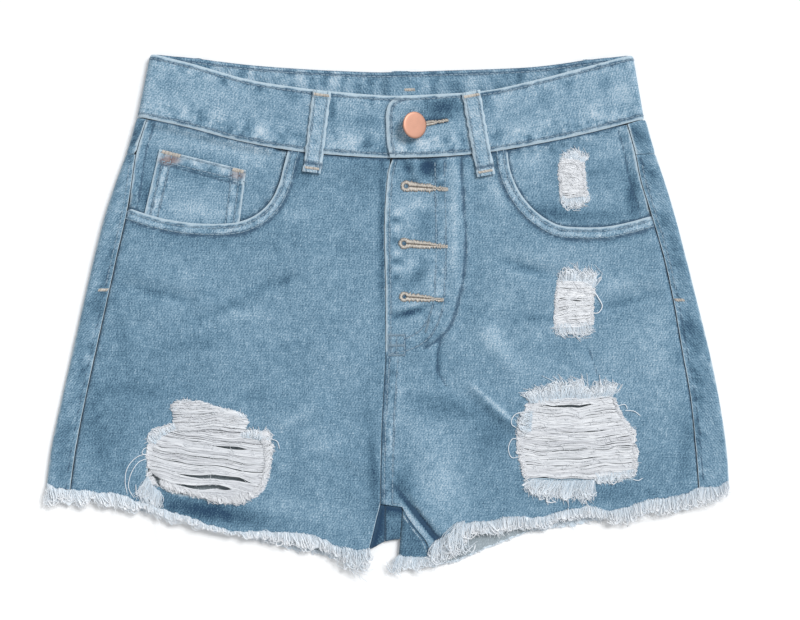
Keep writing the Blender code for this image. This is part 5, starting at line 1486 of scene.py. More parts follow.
def make_back_loop(name, middle, top, foot):
    """A belt loop flat on the surface under the back, its folded edges worn pale."""
    half = LOOP_WIDTH / 2
    ring = np.array([(-half, foot), (half, foot), (half, top), (-half, top)])

    def place(u, v):
        return stacked(middle + u, v, 0.15 + 0.1 * clouds(u, v, 8, 19) - 0.1 * bell(u, 3))

    surface = look(
        141, base=0.1, edges=[(upright(x, top, foot), 1.4) for x in (-half, half)],
        grooves=[(upright(x, top, foot), 0.7) for x in (-4.2, 4.2)], seams=((upright(0, top, foot), 5, 1),),
    )
    patch = cloth_shell(ring, place, covering(ring, 1.05), surface, out=-1, lining=0, wall=1)
    return add_cloth(name, patch, ring, lined=False)


def front_outline(side):
    """The cut of a front, which lies in plan."""
    hem = curve(HEM_FRONT_LEFT if side > 0 else HEM_FRONT_RIGHT, 3)
    scoop = curve(SCOOPS[side], 2.5)[::-1][1:-1]
    y = np.linspace(hem[0 if side < 0 else -1][1], 71 if side < 0 else 67, 60)
    outseam = pairs(outseam_x(side, y) - side * SEAM / 2, y)
    fly, rise = curve(FLY_EDGE, 4), curve(RISE_EDGE, 4)
    if side < 0:
        edges = [waist_seam_line(-65.6, 2.2), (fly - (SEAM, 0))[1:], (rise - (SEAM, 0))[1:]]
        return np.vstack([*edges, curve(INNER_EDGE_RIGHT, 3)[1:], hem[::-1][1:], outseam, scoop])
    inner = (curve(CROTCH_EDGE, 4)[1:], curve(INSEAM_LEFT, 3)[1:])
    return np.vstack([waist_seam_line(80.8, 4), fly[1:], rise[1:], *inner, hem[1:-1], outseam, scoop])


J_ROWS = (
    ((39.2, 104), (39.2, 20), (38.4, 8), (34.4, -6), (28, -16), (18, -22.5), (2, -26.4)),
    ((32.6, 104), (32.6, 20), (31.8, 10), (28, -2), (22, -11), (13, -16)),
)
FLY_BOX = (
    ((1, -13.6), (12, -13.6)), ((1, -20.6), (12, -20.6)), ((1, -27.2), (12, -27.2)),
    ((1.2, -13), (1.2, -27.6)), ((6.6, -13), (6.6, -27.6)), ((12, -13), (12, -27.6)),
)


def front_rows(side):
    """Flat lines of the topstitching on a front."""
    scoop = curve(SCOOPS[side], 2.5)
    rows = [offset(scoop, -side * 2.7), offset(scoop, -side * 7.1)]
    if side > 0:
        rise = curve(((-0.6, -29), *RISE_EDGE[1:]), 6)
        rows += [offset(rise, 2.4), offset(rise, 8), *[curve(row, 3) for row in J_ROWS]]
        rows += [*map(np.array, FLY_BOX), offset(curve(FLY_EDGE, 6), 3.2), np.array(((3, -128.6), (9, -129)))]
    return rows


def make_front(side):
    """A front: pocket scoop with its stitched band, worn holes, ripples and the pressed creases."""
    outline = front_outline(side)
    rips = ("rip_threads_thigh_left", "rip_threads_hip") if side > 0 else ("rip_threads_thigh_right",)
    holes = [hole_ring(rip) for rip in rips]
    scoop = curve(SCOOPS[side], 3)
    edges = [(scoop, 1.25), (outseams[side], 0.35), *[(closed(hole), 0.9) for hole in holes]]
    # Dark lines: painted shade in the stitch rows, under the waistband's foot, beside the outseam and just
    # outside the scoop's band.
    grooves = [(row, 0.95) for row in front_rows(side)]
    grooves += [(waist_lines[side], 2), (outseams[side], 1.4), (offset(scoop, -side * 8.6), 1.2)]
    if side > 0:
        edges += [(curve(FLY_EDGE, 8), 1.05)]
        # Painted shade in the fly's crease, beside the deep fold and its tail, along the rise and in a crease
        # trough, and a dark patch painted in the eye of each buttonhole as the shade of the hole.
        grooves += [(fly_crease, 1.5), (deep_fold[3:], 1.3), (deep_fold[8:], 2), (curve(RISE_EDGE, 6), 1.2)]
        grooves += [(FLY_TAIL, 1.2), (((137, -22), (143, -40)), 0.8)]
        grooves += [((eye, (eye[0] + 1.2, eye[1])), 2) for eye, *_ in FLY_BUTTONHOLES]
    else:
        edges += [(curve(FLY_EDGE, 8), 0.5), (curve(RISE_EDGE, 8), 0.3), (curve(INNER_EDGE_RIGHT, 8), 0.3)]
    # A lighter band on the scoop's doubled hem, a painted shadow just outside it, and painted shade under the
    # waistband's foot.
    bands = [
        (offset(scoop, -side * 4.9), 2.2, 0.34), (offset(scoop, -side * 10), 1.8, -0.22),
        (waist_lines[side] - (0, 4), 3, -0.12),
    ]
    surface = look(
        150 + side, base=-0.02 if side < 0 else 0.05, edges=edges, grooves=grooves, seams=FRONT_SEAMS[side],
        fades=FRONT_FADES_AND_SHADE[side], bands=bands, rope=0.26,
    )
    patch = cloth_shell(outline, front_place(side), covering(outline, size_of("front_step")), surface, holes)
    return add_cloth(sided("front", side), patch, outline, holes)


def facing_outline(side):
    """The cut of a pocket facing, a finger's width larger than the scoop it shows through."""
    scoop = curve(SCOOPS[side], 4)
    seam_x = float(outseam_x(side, 58)) - side * (SEAM / 2 + 0.3)
    lower = np.array([p for p in offset(scoop, -side * 12)[1:] if side * p[0] < abs(seam_x) - 4])
    y = np.linspace(60, float(front_seam(foot_share(outseam_x(side, 130)))) - SEAM - 0.8, 24)
    outseam = pairs(outseam_x(side, y) - side * (SEAM / 2), y)
    return np.vstack([lower, outseam, waist_seam_line(side * 156, scoop[0][0] - side * 12)])


# The same for the pocket facings: painted shade under each scoop and along the outseams, and painted light
# near the top, where the facings rise to the seams.
FACING_FADES_AND_SHADE = (
    (-163, 80, 4, 12, 6, -0.6), (-150, 118, 14, 6, -10, 0.3), (-120, 114, 22, 5, -12, 0.3),
    (-92, 108, 12, 7, 0, 0.25), (-105, 65, 18, 3, 5, -0.4), (-84, 84, 6, 14, 30, -0.1),
    (155, 112, 14, 6, 12, 0.2), (100, 106, 9, 9, 0, 0.25), (111, 69, 22, 5, -8, -0.7),
    (167, 80, 4, 16, 6, -0.8), (148, 80, 10, 5, 0, 0.18), (150, 68, 16, 3, 0, -0.3),
    (140, 96, 20, 3, 8, -0.2),
)


def make_facing(side):
    """The cloth behind a pocket opening, dark where the scoop shades it."""
    outline = facing_outline(side)
    holes = [hole_ring("rip_threads_pocket")] if side > 0 else []
    y = np.linspace(66, 132, 14)
    strip = pairs(outseam_x(side, y) - side * (6.2 if side < 0 else 7.5), y)
    seam = pairs(outseam_x(side, y), y)
    surface = look(
        160 + side, base=0.02, edges=[(seam, 1.2), *[(closed(hole), 2) for hole in holes]],
        grooves=((scoops[side], 2.2), (waist_lines[side], 1.7), (strip, 1), (seam, 0.5)),
        seams=((waist_lines[side], 8, 0.9), (strip, 5, 0.5), (scoops[side], 5, 0.6)), fades=FACING_FADES_AND_SHADE,
    )
    patch = cloth_shell(outline, facing_place(side), covering(outline, 1.45), surface, holes)
    return add_cloth(sided("pocket_facing", side), patch, outline, holes)


def coin_rows():
    """Flat lines of the coin pocket's topstitching: two on its hem and two down each side."""
    ring = np.array(COIN_POCKET, float)
    top, right, left = (spaced(ring[ends], 4) for ends in ([0, 1], [1, 2], [3, 0]))
    return [
        top + (0.4, -1.6), top + (0.8, -8), *[right - (away, 0) for away in (4.1, 9.5)],
        *[left + (away, 0) for away in (4.1, 9.5)],
    ]


def coin_place(u, v):
    """The coin pocket lies on the facing, its doubled hem proud of the rest."""
    top, right, left = (line_distance(u, v, ends) for ends in COIN_EDGES)
    z = facing_place(-1, 1.55)(u, v)[..., 2]
    z = z + 0.5 * (1 - ease(top, 8.6, 9.8)) + 0.25 * (1 - ease(np.minimum(right, left), 10, 11.4))
    return stacked(u, v, z + 0.3 * roping(u, v, ((COIN_POCKET[:2], 9, 1),), 63))


COIN_EDGES = (COIN_POCKET[:2], COIN_POCKET[1:3], (COIN_POCKET[3], COIN_POCKET[0]))


def make_coin_pocket():
    """The small pocket on the right facing, its hem and edges rubbed pale and roped."""
    ring = np.array(COIN_POCKET, float)
    top, right, left = (np.array(ends) for ends in COIN_EDGES)
    # Its dark lines are painted shade in the stitch rows and under the raised hem. Of its fades, the dark
    # stroke along the right edge is painted shade beside that edge.
    cloth = look(
        171, base=0.14, edges=((top, 1.7), (right, 1.2), (left, 1.2)),
        grooves=[(row, 0.95) for row in coin_rows()] + [(top + ((1, -10.2), (-3, -10.2)), 1)],
        bands=((top + (0, -4.8), 2.4, 0.3), (right - (6.8, 0), 2, 0.26), (left + (6.8, 0), 2, 0.26)),
        seams=((top + (0, -5), 6, 1.2), (right - (6.5, 0), 5, 0.9), (left + (6.5, 0), 5, 0.9)),
        fades=(
            (-124, 96, 20, 8, -8, -0.32), (-130, 72, 22, 5, -4, 0.3), (-99, 76, 2.6, 12, 0, -0.4),
            (-144, 98, 4, 5, 0, -0.3), (-162, 84, 3, 20, 0, 0.15),
        ),
        rope=0.36,
    )

    def surface(u, v):
        """The cloth, with rust marks under both tacks."""
        stain = sum(
            share * np.exp(-(((u - x) / half_x) ** 2 + ((v - y) / half_y) ** 2) ** 2)
            for x, y, half_x, half_y, share in ((-147.5, 105.4, 7.5, 3.4, 1.3), (-101, 95.4, 5.5, 3.4, 0.9))
        )
        return {**cloth(u, v), "stain": stain}

    return add_cloth("coin_pocket", cloth_shell(ring, coin_place, covering(ring, 1.1), surface), ring)


def keyhole():
    """The waist buttonhole's cut edge in plan: a round eye and a narrow slit."""
    eye, end = np.array((14.8, 128.2)), np.array((40.5, 132))
    length = float(np.hypot(*(end - eye)))
    ahead = (end - eye) / length
    across = np.array([-ahead[1], ahead[0]])
    mouth = math.asin(0.8 / 2.6)
    turn = np.linspace(mouth, 2 * math.pi - mouth, 15)
    rim = np.vstack([pairs(2.6 * np.cos(turn), 2.6 * np.sin(turn)), [(length, -0.8), (length, 0.8)]])
    return eye + rim[:, :1] * ahead + rim[:, 1:] * across


def band_ends():
    """Flat outlines of the waistband's two ends: the rounded tab and the straight underlap."""
    tab = band_at(*np.array(curve(TAB_END, 2)).T, 1)
    lap = band_at(np.full(2, UNDERLAP_END), np.array([150.2, 107.9]), -1)
    tab[:, 1] = np.clip(tab[:, 1], 0, BAND_HEIGHT)
    return tab, lap


def all_round(v):
    """A line round the whole waistband at one height of its flat cut."""
    return (-420, v), (420, v)


def make_waistband():
    """The waistband: one strip round the waist, its tab over its underlap."""
    tab, lap = band_ends()
    ends = [(lap[0, 0], 0), (tab[0, 0] - 0.5, 0)], [(tab[-1, 0], BAND_HEIGHT), (lap[1, 0], BAND_HEIGHT)]
    outline = np.vstack([ends[0], tab, ends[1]])
    hole = band_at(*keyhole().T, 1)
    low, high = outline[:, 0].min(), outline[:, 0].max()
    fine = (hole[:, 0].min() - 2, hole[:, 0].max() + 2)
    columns = (lattice(low, fine[0], 1.45)[:-1], lattice(*fine, 0.8), lattice(fine[1], high, 1.3)[1:])
    rows = (lattice(0, 16, 1.3)[:-1], lattice(16, 26, 0.8), lattice(26, BAND_HEIGHT, 1.3)[1:])
    # Pale lines along the band's top and foot and round the tab: rubbed wear, and also painted highlight on
    # these rounded edges.
    edges = ((all_round(0), 1.3), (all_round(42), 1.3), (tab, 2.4))
    grooves = [*[(all_round(v), 1.2) for v in (2.7, 39.2)], (offset(tab, 3.4), 1.2), (closed(hole), 1.2)]
    seams = ((((-400, 5), (400, 5)), 6, 0.9), (((-400, 36), (400, 36)), 8, 1.1), (offset(tab, 4), 5, 0.8))
    fades = [
        (*band_at(np.array(x), np.array(y), 1 if x > 3 else -1).tolist(), *rest) for x, y, *rest in BAND_FADES_AND_SHADE
    ]
    front = look(180, base=0.24, edges=edges, grooves=grooves, seams=seams, fades=fades, rope=0.22)

    def surface(q, v):
        """The front's look with upright puckers, and inside the back painted shade: darker, with a dark top
        edge.
        """
        fields = front(q, v)
        behind = np.abs(q) < 166
        puckers = 0.3 * clouds(q, v * 0.5, 6.4, 188) * bell(v - 33, 6)
        # Inside the back, painted shade of the waist opening: a darker tone and a dark line along the top
        # edge, and no rubbed pale line there.
        fields["wash"] += np.where(behind, 0.45 * clouds(q, v * 0.3, 5.2, 187) - 0.12, puckers)
        fields["worn"] = np.where(behind & (v < 8), FAR, fields["worn"])
        fields["groove"] = np.minimum(fields["groove"], np.where(behind, np.abs(v - 0.4) / 0.9, np.inf))
        return fields

    grid = np.concatenate(columns), np.concatenate(rows)
    patch = cloth_shell(outline, band_place, grid, surface, [hole], lining=0, wall=size_of("band_wall"))
    return add_cloth("waistband", patch, outline, [hole], lined=False)


def loop_ground(x, y):
    """Height of what a front belt loop lies on."""
    bands, fronts = (
        [read(side) for side in (1, -1)]
        for read in (
            lambda side: band_place(*np.moveaxis(band_at(x, y, side), -1, 0))[..., 2],
            lambda side: front_height(side, x, y),
        )
    )
    return np.where(y > front_seam(foot_share(x)), np.where(x > 20, *bands), np.where(x > 20, *fronts))


def loop_place(top, foot):
    """A front belt loop: u runs across it and v down from its top, clear of the band between its ends."""
    top, foot = np.array(top), np.array(foot)
    length = float(np.hypot(*(foot - top)))
    ahead = (foot - top) / length
    across = np.array([-ahead[1], ahead[0]])
    stations = np.linspace(-1, length + 1, 60)
    line = top + ahead * stations[:, None]
    reaches = (-LOOP_WIDTH / 2, 0, LOOP_WIDTH / 2)
    ground = np.maximum.reduce([loop_ground(*(line + across * reach).T) for reach in reaches])
    ground = np.convolve(np.pad(ground, 2, mode="edge"), np.ones(5) / 5, mode="valid")

    def place(u, v):
        x = top[0] + ahead[0] * v + across[0] * u
        y = top[1] + ahead[1] * v + across[1] * u
        ends = np.minimum(v, length - v)
        clear = 2.35 + 0.35 * ease(ends, 3, 9)
        doubled = 0.8 * (1 - ease(ends, 4.2, 5.4))
        crown = -0.5 * ease(np.abs(u), 4.6, 6.5) - 0.12 * bell(u, 1.6)
        pucker = 0.14 * clouds(u, v, 3.4, 29) + 0.1 * clouds(u, v, 7, 30)
        return stacked(x, y, np.interp(v, stations, ground) + clear + doubled + crown + pucker)

    return place, length


def make_front_loop(name):
    """A belt loop over the waistband, tacked at both ends."""
    place, length = loop_place(*LOOPS[name])
    half = LOOP_WIDTH / 2
    v = np.linspace(0, length, 40)
    ragged = 0.45 * clouds(v, 0, 3, 190 + len(name))
    ring = np.vstack([pairs(half + ragged, v), pairs(ragged[::-1] - half, v[::-1])])
    sides, rows = (
        [(upright(x, length, 0), wide) for x in (-far, far)] for far, wide in ((half, 1.3), (3.9, 0.6))
    )
    # Dark lines: painted shade in the stitch rows, and a wide one just above the raised foot, as the shade
    # beside its edge.
    surface = look(
        190 + len(name), base=0.34, edges=(*sides, (((-half, 0), (half, 0)), 1.4)),
        grooves=(*rows, (((-half, length - 6), (half, length - 6)), 2)),
        seams=((upright(0, length, 0), 4.6, 1),), rope=0.2,
    )
    patch = cloth_shell(ring, place, covering(ring, 0.9), surface, out=-1, lining=0, wall=1.5)
    return add_cloth(name, patch, ring, lined=False)


def numbered(patches, number):
    """One patch from several, its faces turned out and given one material number."""
    patch = joined([turned_out(patch) for patch in patches])
    patch.faces = [(face, number) for face, _ in patch.faces]
    return patch


def weft(rows, ground, count, bend, slits, seed, high=0.3, fuzz=1.6, dull=0.35, pale=0):
    """The threads left across a hole: each runs from under one edge to the other and is free between.

    rows are y, left edge and right edge. dull is how grey the threads are, and pale how white. fuzz is
    how many bits of lint lie on each. bend(x, level) moves a thread from its level. A slit is a level,
    two places along it and half its height: the threads on both sides are pushed away from it.
    """
    left, right = hole_sides(rows)
    rng = np.random.default_rng(seed)
    level = np.linspace(rows[0][0] - 0.8, rows[-1][0] + 0.8, count) + rng.normal(0, 0.15, count)
    t = np.linspace(0, 1, 26)
    start, end = left(level) - rng.uniform(0.8, 2, count), right(level) + rng.uniform(0.8, 2, count)
    x = start[:, None] + (end - start)[:, None] * t
    level, strand = level[:, None], np.arange(count)[:, None] * 7.7
    push = np.zeros(x.shape)
    for middle, low, far, half in slits:
        away = level - middle
        share = np.clip((x - low) / (far - low), 0, 1)
        lens = 1.35 * share**0.8 * (1 - share) ** 0.4
        push += np.where(away < 0, -1, 1) * half * np.exp(-np.abs(away) / 2.4) * lens
    y = level + bend(x, level) + push
    y = y + 0.26 * clouds(x, strand, 15, seed + 1) + 0.2 * clouds(x, strand, 6, seed + 2)
    y = y + 0.7 * clouds(x, level, 9, seed + 3) + 0.12 * clouds(x, strand, 2.6, seed + 6)
    y = y + 1.1 * clouds(x, level, 17, seed + 8)
    layer = rng.uniform(0, 1, (count, 1))
    rise = (0.7 + high) * ease(t, 0, 0.06) * (1 - ease(t, 0.94, 1))
    z = ground(x, y) + (-0.7 + rise + (0.5 * layer + 0.4) * np.sin(math.pi * t) ** 0.6)
    thick = rng.uniform(0.8, 1.25, (count, 1)) * (1 + 0.2 * clouds(x, strand, 3, seed + 4))
    # shade is random. fray is painted a little paler on the threads that lie higher, as light on them.
    shade = dull + 0.75 * rng.uniform(0, 1, (count, 1)) ** 1.6 + 0.3 * clouds(x, strand, 5, seed + 7)
    fray = pale + 0.15 * layer + 0.3 * clouds(x, strand, 8, seed + 5)
    radius = size_of("thread_width") / 2 * thick
    made = [strands(np.stack([x, y, z], -1), radius, {"shade": shade, "fray": fray}, 4)]
    many = round(fuzz * count)
    row, spot = rng.integers(0, count, many), rng.uniform(0.06, 0.94, many)
    bit = np.array([-0.5, -0.3, -0.1, 0.1, 0.3, 0.5])
    turn = rng.normal(0, 0.6, (many, 1)) + rng.normal(0, 1.2, (many, 1)) * bit
    size = rng.uniform(2, 5, (many, 1))
    middle = x[row, 0] + (x[row, -1] - x[row, 0]) * spot
    index = np.clip((spot * 25).astype(int), 0, 25)
    lint = (
        middle[:, None] + size * bit * np.cos(turn), y[row, index][:, None] + size * bit * np.sin(turn),
        z[row, index][:, None] + 0.3 + 0.5 * rng.uniform(0, 1, (many, 1)) * np.cos(math.pi * bit),
    )
    radius = size_of("fibre_width") / 2 * np.cos(1.2 * bit)
    shade = dull + rng.uniform(-0.3, 0.4, (many, 1))
    made.append(strands(np.stack(lint, -1), radius, {"shade": shade, "fray": pale + 0.1}))
    return numbered(made, 1)


def cotton_piece(name, patches):
    """Loose cotton as one object in the place of the solid of its name."""
    patch = joined([turned_out(patch) for patch in patches])
    return add_piece(name + "_cotton", patch, ("cotton", "weft"), (name,))


def tuft(root, tip, ground, seed, density, bare=False, **options):
    """Fibres and thicker yarns with matted fleece under them, so many to a millimetre of root.

    A bare one has no fleece and the colour of the threads across a rip.
    """
    run = np.abs(np.diff(np.array(root, float), axis=0)).max(axis=1).sum()
    fine = brush(root, tip, round(0.6 * density * run), ground, seed + 1, **options)
    yarns = {**options, "ragged": 0.3, "hook": 0.9, "curl": 0.5 * options.get("curl", 0.5)}
    yarn = brush(root, tip, round(0.15 * density * run), ground, seed + 2, width=0.85, **yarns)
    if bare:
        return [numbered([fine, yarn], 1)]
    return [fleece(root, tip, ground, seed, 0.5, 0.55, 0.75, options.get("upright", False)), fine, yarn]


def bend_thigh_right(x, level):
    start = np.interp(level, (-126, -108, -88, -78, -64), (-150, -162, -161, -144, -143))
    rise = np.interp(level, (-126, -112, -90, -78, -64), (0.5, 2.5, 5, 4, 2))
    fall = np.interp(level, (-126, -119, -110, -88, -64), (-0.03, -0.12, -0.12, -0.1, -0.03))
    return rise * np.exp(-np.clip(x - start, 0, None) / 12) + fall * (x + 121)


def bend_flap(x, level):
    return -0.05 * (x + 121) - 1.3 * ((x + 121) / 22) ** 2 + 1.0


def bend_thigh_left(x, level):
    middle, sag = 126.0 - 0.02 * (level + 83), np.interp(level, (-111, -85, -55), (0.4, 1.6, 3.4))
    return sag * ((x - middle) / 34) ** 2 - 0.5 * sag + 0.012 * (x - middle)


def bend_hip(x, level):
    return (x - 128) * np.interp(level, (-9, 4, 14, 24), (0.2, 0.12, 0.02, -0.04))


def bend_pocket(x, level):
    return 0.3 * clouds(x, level, 12, 3)


TOP = {"ragged": 0.15}
SIDE = {"upright": True, "bare": True}
# Each rip: its threads, the slits between them, its tufts and its loose threads. A tuft is its seed, how
# dense it is, its options, its root line and its tip line.
RIPS = {
    "rip_threads_thigh_right": {
        "weft": {"count": 112, "bend": bend_thigh_right, "seed": 301, "fuzz": 2.4, "dull": 0.5},
        "slits": (
            (-88.4, -116, -97, 2), (-110.2, -146, -93, 2.5), (-117.6, -145, -106, 2.9),
            (-98, -140, -112, 0.4), (-82.5, -132, -104, 0.45), (-103.5, -126, -100, 0.4),
        ),
        "tufts": (
            (311, 11, {**TOP, "lift": 1.8, "low": 0.6}, ((-144, -66), (-138, -62.5), (-128, -63.5),
                (-118, -67), (-106, -68), (-97, -71)), ((-146.2, -62.1), (-140.3, -57.6), (-135.9, -56.5),
                (-125.5, -59.1), (-120.4, -62.8), (-107.8, -63.2), (-101.9, -64.6), (-95.3, -67.2))),
            (371, 11, {**TOP, "lift": 1.5, "low": 0.4}, ((-100, -83), (-90, -84), (-80, -86)), ((-99, -78.6),
                (-92, -76.6), (-84, -77.6), (-78, -82))),
            (381, 12, {"lift": 1.8, "ragged": 0.3}, ((-162.5, -109), (-159, -116.5), (-153.5, -121)),
                ((-173, -126), (-165, -132.5), (-155.5, -136.5))),
            (321, 11, {"lift": 1.5, "low": 0.3}, ((-158, -88), (-152, -82), (-143, -77)), ((-166, -84),
                (-159.5, -77.8), (-149.9, -75), (-146, -71.8))),
            (331, 8, {**SIDE, "lift": 0.9}, ((-159.5, -88), (-160.5, -98), (-160, -108), (-155, -117)),
                ((-163.4, -87), (-164.4, -98), (-164.4, -110), (-160.5, -119.5))),
            (341, 14, {**TOP, "lift": 2.2, "low": 0.5, "bare": True}, ((-155, -112), (-144, -116),
                (-134, -119), (-122.6, -121.6), (-109.3, -124), (-92, -119.5)), ((-153, -117.8),
                (-137.4, -121.6), (-122.6, -125.6), (-109.3, -129.4), (-98.3, -129.2), (-90, -124))),
            (351, 12, {**SIDE, "lift": 1.4, "low": 0.6}, ((-87, -80), (-84, -90), (-83, -102), (-85, -116),
                (-93, -123)), ((-79.4, -78.5), (-76.6, -87.1), (-78.6, -99.7), (-82.6, -111),
                (-87.6, -120.5))),
        ),
        "loose": (
            ((-160, -94, 0.4), (-169, -96, 1), (-176.5, -104, 0.8), (-178, -113, 0.6), (-176.5, -122, 0.4)),
            (
                (-160.5, -97, 0.4), (-168, -99.5, 0.9), (-174, -108, 0.8), (-175.5, -118, 0.5),
                (-172, -124.5, 0.4),
            ),
            ((-160, -91, 0.4), (-164.5, -90.5, 1), (-166.5, -93.6, 0.8), (-162, -96, 0.5)),
            ((-80.5, -84, 0.4), (-74.5, -86, 0.9), (-73, -91, 0.5)),
            ((-155, -141.5, 0.3), (-154.3, -148, 0.6), (-152.6, -155, 0.3)),
        ),
    },
    "rip_threads_thigh_left": {
        "weft": {"count": 106, "bend": bend_thigh_left, "seed": 401, "fuzz": 2.4, "pale": 0.14},
        "slits": (
            (-60.6, 99, 140, 1.8), (-69, 118, 142, 0.4), (-78.5, 108, 150, 0.6), (-96.5, 108, 146, 0.4),
            (-104.5, 100, 126, 0.4),
        ),
        "tufts": (
            (471, 14, {"lift": 2.2, "ragged": 0.1, "upright": True, "low": 0.5}, ((99, -65), (97.5, -79)),
                ((91, -66), (88.4, -71), (89, -78.5))),
            (411, 11, {"lift": 1.5, "ragged": 0.14}, ((97.5, -59.8), (109.4, -59.9), (122.4, -59.2),
                (135.4, -57.8), (153, -55)), ((93, -50), (95.7, -48.6), (102.9, -47.2), (109.4, -44.6),
                (118.5, -43.8), (132.1, -42.4), (137.4, -46.8), (141.9, -47.5), (146.8, -38.7),
                (150.3, -44.8), (156.9, -43.8))),
            (421, 10, {**SIDE, "lift": 1.2}, ((99, -60), (94, -72), (92.5, -84), (93.5, -98), (97, -111)),
                ((96, -60.5), (88.6, -70), (87.4, -86), (88.4, -98), (92, -112.6))),
            (431, 10, SIDE, ((153, -56), (157.5, -68), (164, -80), (167, -94), (166, -106)), ((155.6, -57),
                (161, -69), (169.4, -80), (171.8, -95), (170.4, -109))),
            (441, 11, {"lift": 1.7, "ragged": 0.16, "curl": 0.4}, ((99, -111.5), (112, -112.5), (126, -112.6),
                (141, -112)), ((87, -118), (102.9, -126.6), (112.6, -126.8), (122.4, -128.6),
                (139.6, -129.4))),
            (451, 9, {"lift": 1.3}, ((140, -106), (154, -106.4), (168, -105)), ((141.9, -115.4),
                (154.9, -116.4), (161.4, -113), (169.4, -110))),
        ),
        "loose": (
            ((92, -86, 0.4), (85.6, -84, 1.2), (82.6, -90, 0.8), (85, -97, 0.8), (91, -96, 0.4)),
            ((96, -106.6, 0.4), (93, -109, 0.8), (96.6, -113.4, 0.5)),
            ((94, -66.6, 0.4), (87, -67.6, 0.9), (85.3, -69.9, 0.5)),
            ((156.5, -62, 0.4), (162, -61, 0.8), (163.6, -64, 0.4)),
            ((162, -65, 0.4), (168, -65.4, 0.9), (172.5, -68.6, 0.4)),
            ((167, -111.6, 0.4), (171, -112.4, 0.7), (174, -110.8, 0.4)),
            ((104, -56.5, 0.8), (109, -60.6, 1.2), (113.4, -61.6, 1.3), (118, -59.4, 1.2), (121, -56, 0.8)),
            ((97, -68, 1.4), (91, -66, 2), (86, -68.5, 1.4), (84.6, -74, 0.8), (88.5, -77, 0.9)),
        ),
    },
    "rip_threads_hip": {
        "weft": {"count": 66, "bend": bend_hip, "seed": 501, "fuzz": 3, "dull": -0.1, "pale": 0.28},
        "slits": ((18.8, 126, 137, 0.5), (9.2, 124, 132, 0.8)),
        "tufts": (
            (511, 12, {**TOP, "lift": 1.3}, ((117, 20.6), (128, 19.6), (140.6, 18.4)), ((116, 25.5),
                (121.8, 32.2), (128.6, 34.6), (133.5, 35.2), (138.8, 31.4), (142.9, 32.2), (145, 29.3))),
            (521, 10, {"lift": 1.5, "ragged": 0.2}, ((117, -5), (126, -5.4), (138, -4.4)), ((113.6, -13.6),
                (118.4, -16.4), (124, -15), (132, -17.6), (139.6, -12.4))),
            (531, 9, SIDE, ((117.6, 20), (116.6, 8), (117, -6)), ((114.6, 20.6), (113.4, 8), (113.6, -7))),
            (541, 9, SIDE, ((138.6, 18), (138, 6), (138, -6)), ((142, 19), (141, 6), (141.4, -7))),
        ),
        "loose": (
            (
                (138, 16, 0.4), (140.6, 15.4, 0.9), (143.6, 11.6, 0.9), (146.2, 5.6, 0.8), (143.6, 1.6, 0.7),
                (139, 1.2, 0.3),
            ),
            ((117, -0.4, 0.3), (113.4, -0.9, 0.8), (113.6, -3.2, 0.6), (117, -3.4, 0.3)),
        ),
    },
    "rip_threads_pocket": {
        "weft": {"count": 56, "bend": bend_pocket, "seed": 601, "fuzz": 4, "dull": -0.15, "pale": 0.33},
        "slits": ((93.2, 123.5, 128.5, 0.4),),
        "tufts": (
            (611, 11, {**TOP, "lift": 1.1}, ((118.6, 104.6), (125, 104.4), (132, 104.4)), ((117.6, 108.6),
                (121, 111.5), (124, 113.5), (126, 113.8), (128, 112.6))),
            (621, 11, {**TOP, "lift": 1.1}, ((127, 104.4), (134, 103.4)), ((128.6, 110), (131, 112.6),
                (134.5, 112), (137, 108.6))),
            (631, 11, {**TOP, "lift": 1.2}, ((118.6, 81), (127, 80), (137, 81)), ((117.4, 76.4), (122, 73),
                (127, 69.8), (131, 70.8), (135, 73.8), (139, 78))),
            (641, 9, {**SIDE, "lift": 0.8}, ((118.8, 104), (118.4, 92), (119.4, 80)), ((116.8, 104.6),
                (116.2, 92), (117.4, 79))),
            (651, 9, {**SIDE, "lift": 0.8}, ((132, 104), (133, 92), (135.4, 81)), ((134.8, 104.4),
                (135.6, 92), (138.2, 80))),
        ),
        "loose": (),
    },
}


def make_rip(name):
    """A rip: the threads left across it, the tufts round its edge and the threads that hang loose."""
    rip = RIPS[name]
    place = facing_place(1) if name.endswith("pocket") else front_place(-1 if name.endswith("right") else 1)

    def ground(x, y):
        return place(x, y)[..., 2]

    def raised(x, y):
        return ground(x, y) + 1

    patches = [weft(HOLES[name], ground, slits=rip["slits"], **rip["weft"])]
    if name.endswith("right"):
        patches.append(weft(FLAP, raised, 42, bend_flap, (), 391, high=0.8, fuzz=5))
    for seed, density, options, root, tip in rip["tufts"]:
        patches += tuft(root, tip, ground, seed, density, **options)
    if rip["loose"]:
        patches.append(loose_threads(rip["loose"], ground, 0.7 if name.endswith("hip") else 0.5))
    return cotton_piece(name, patches)


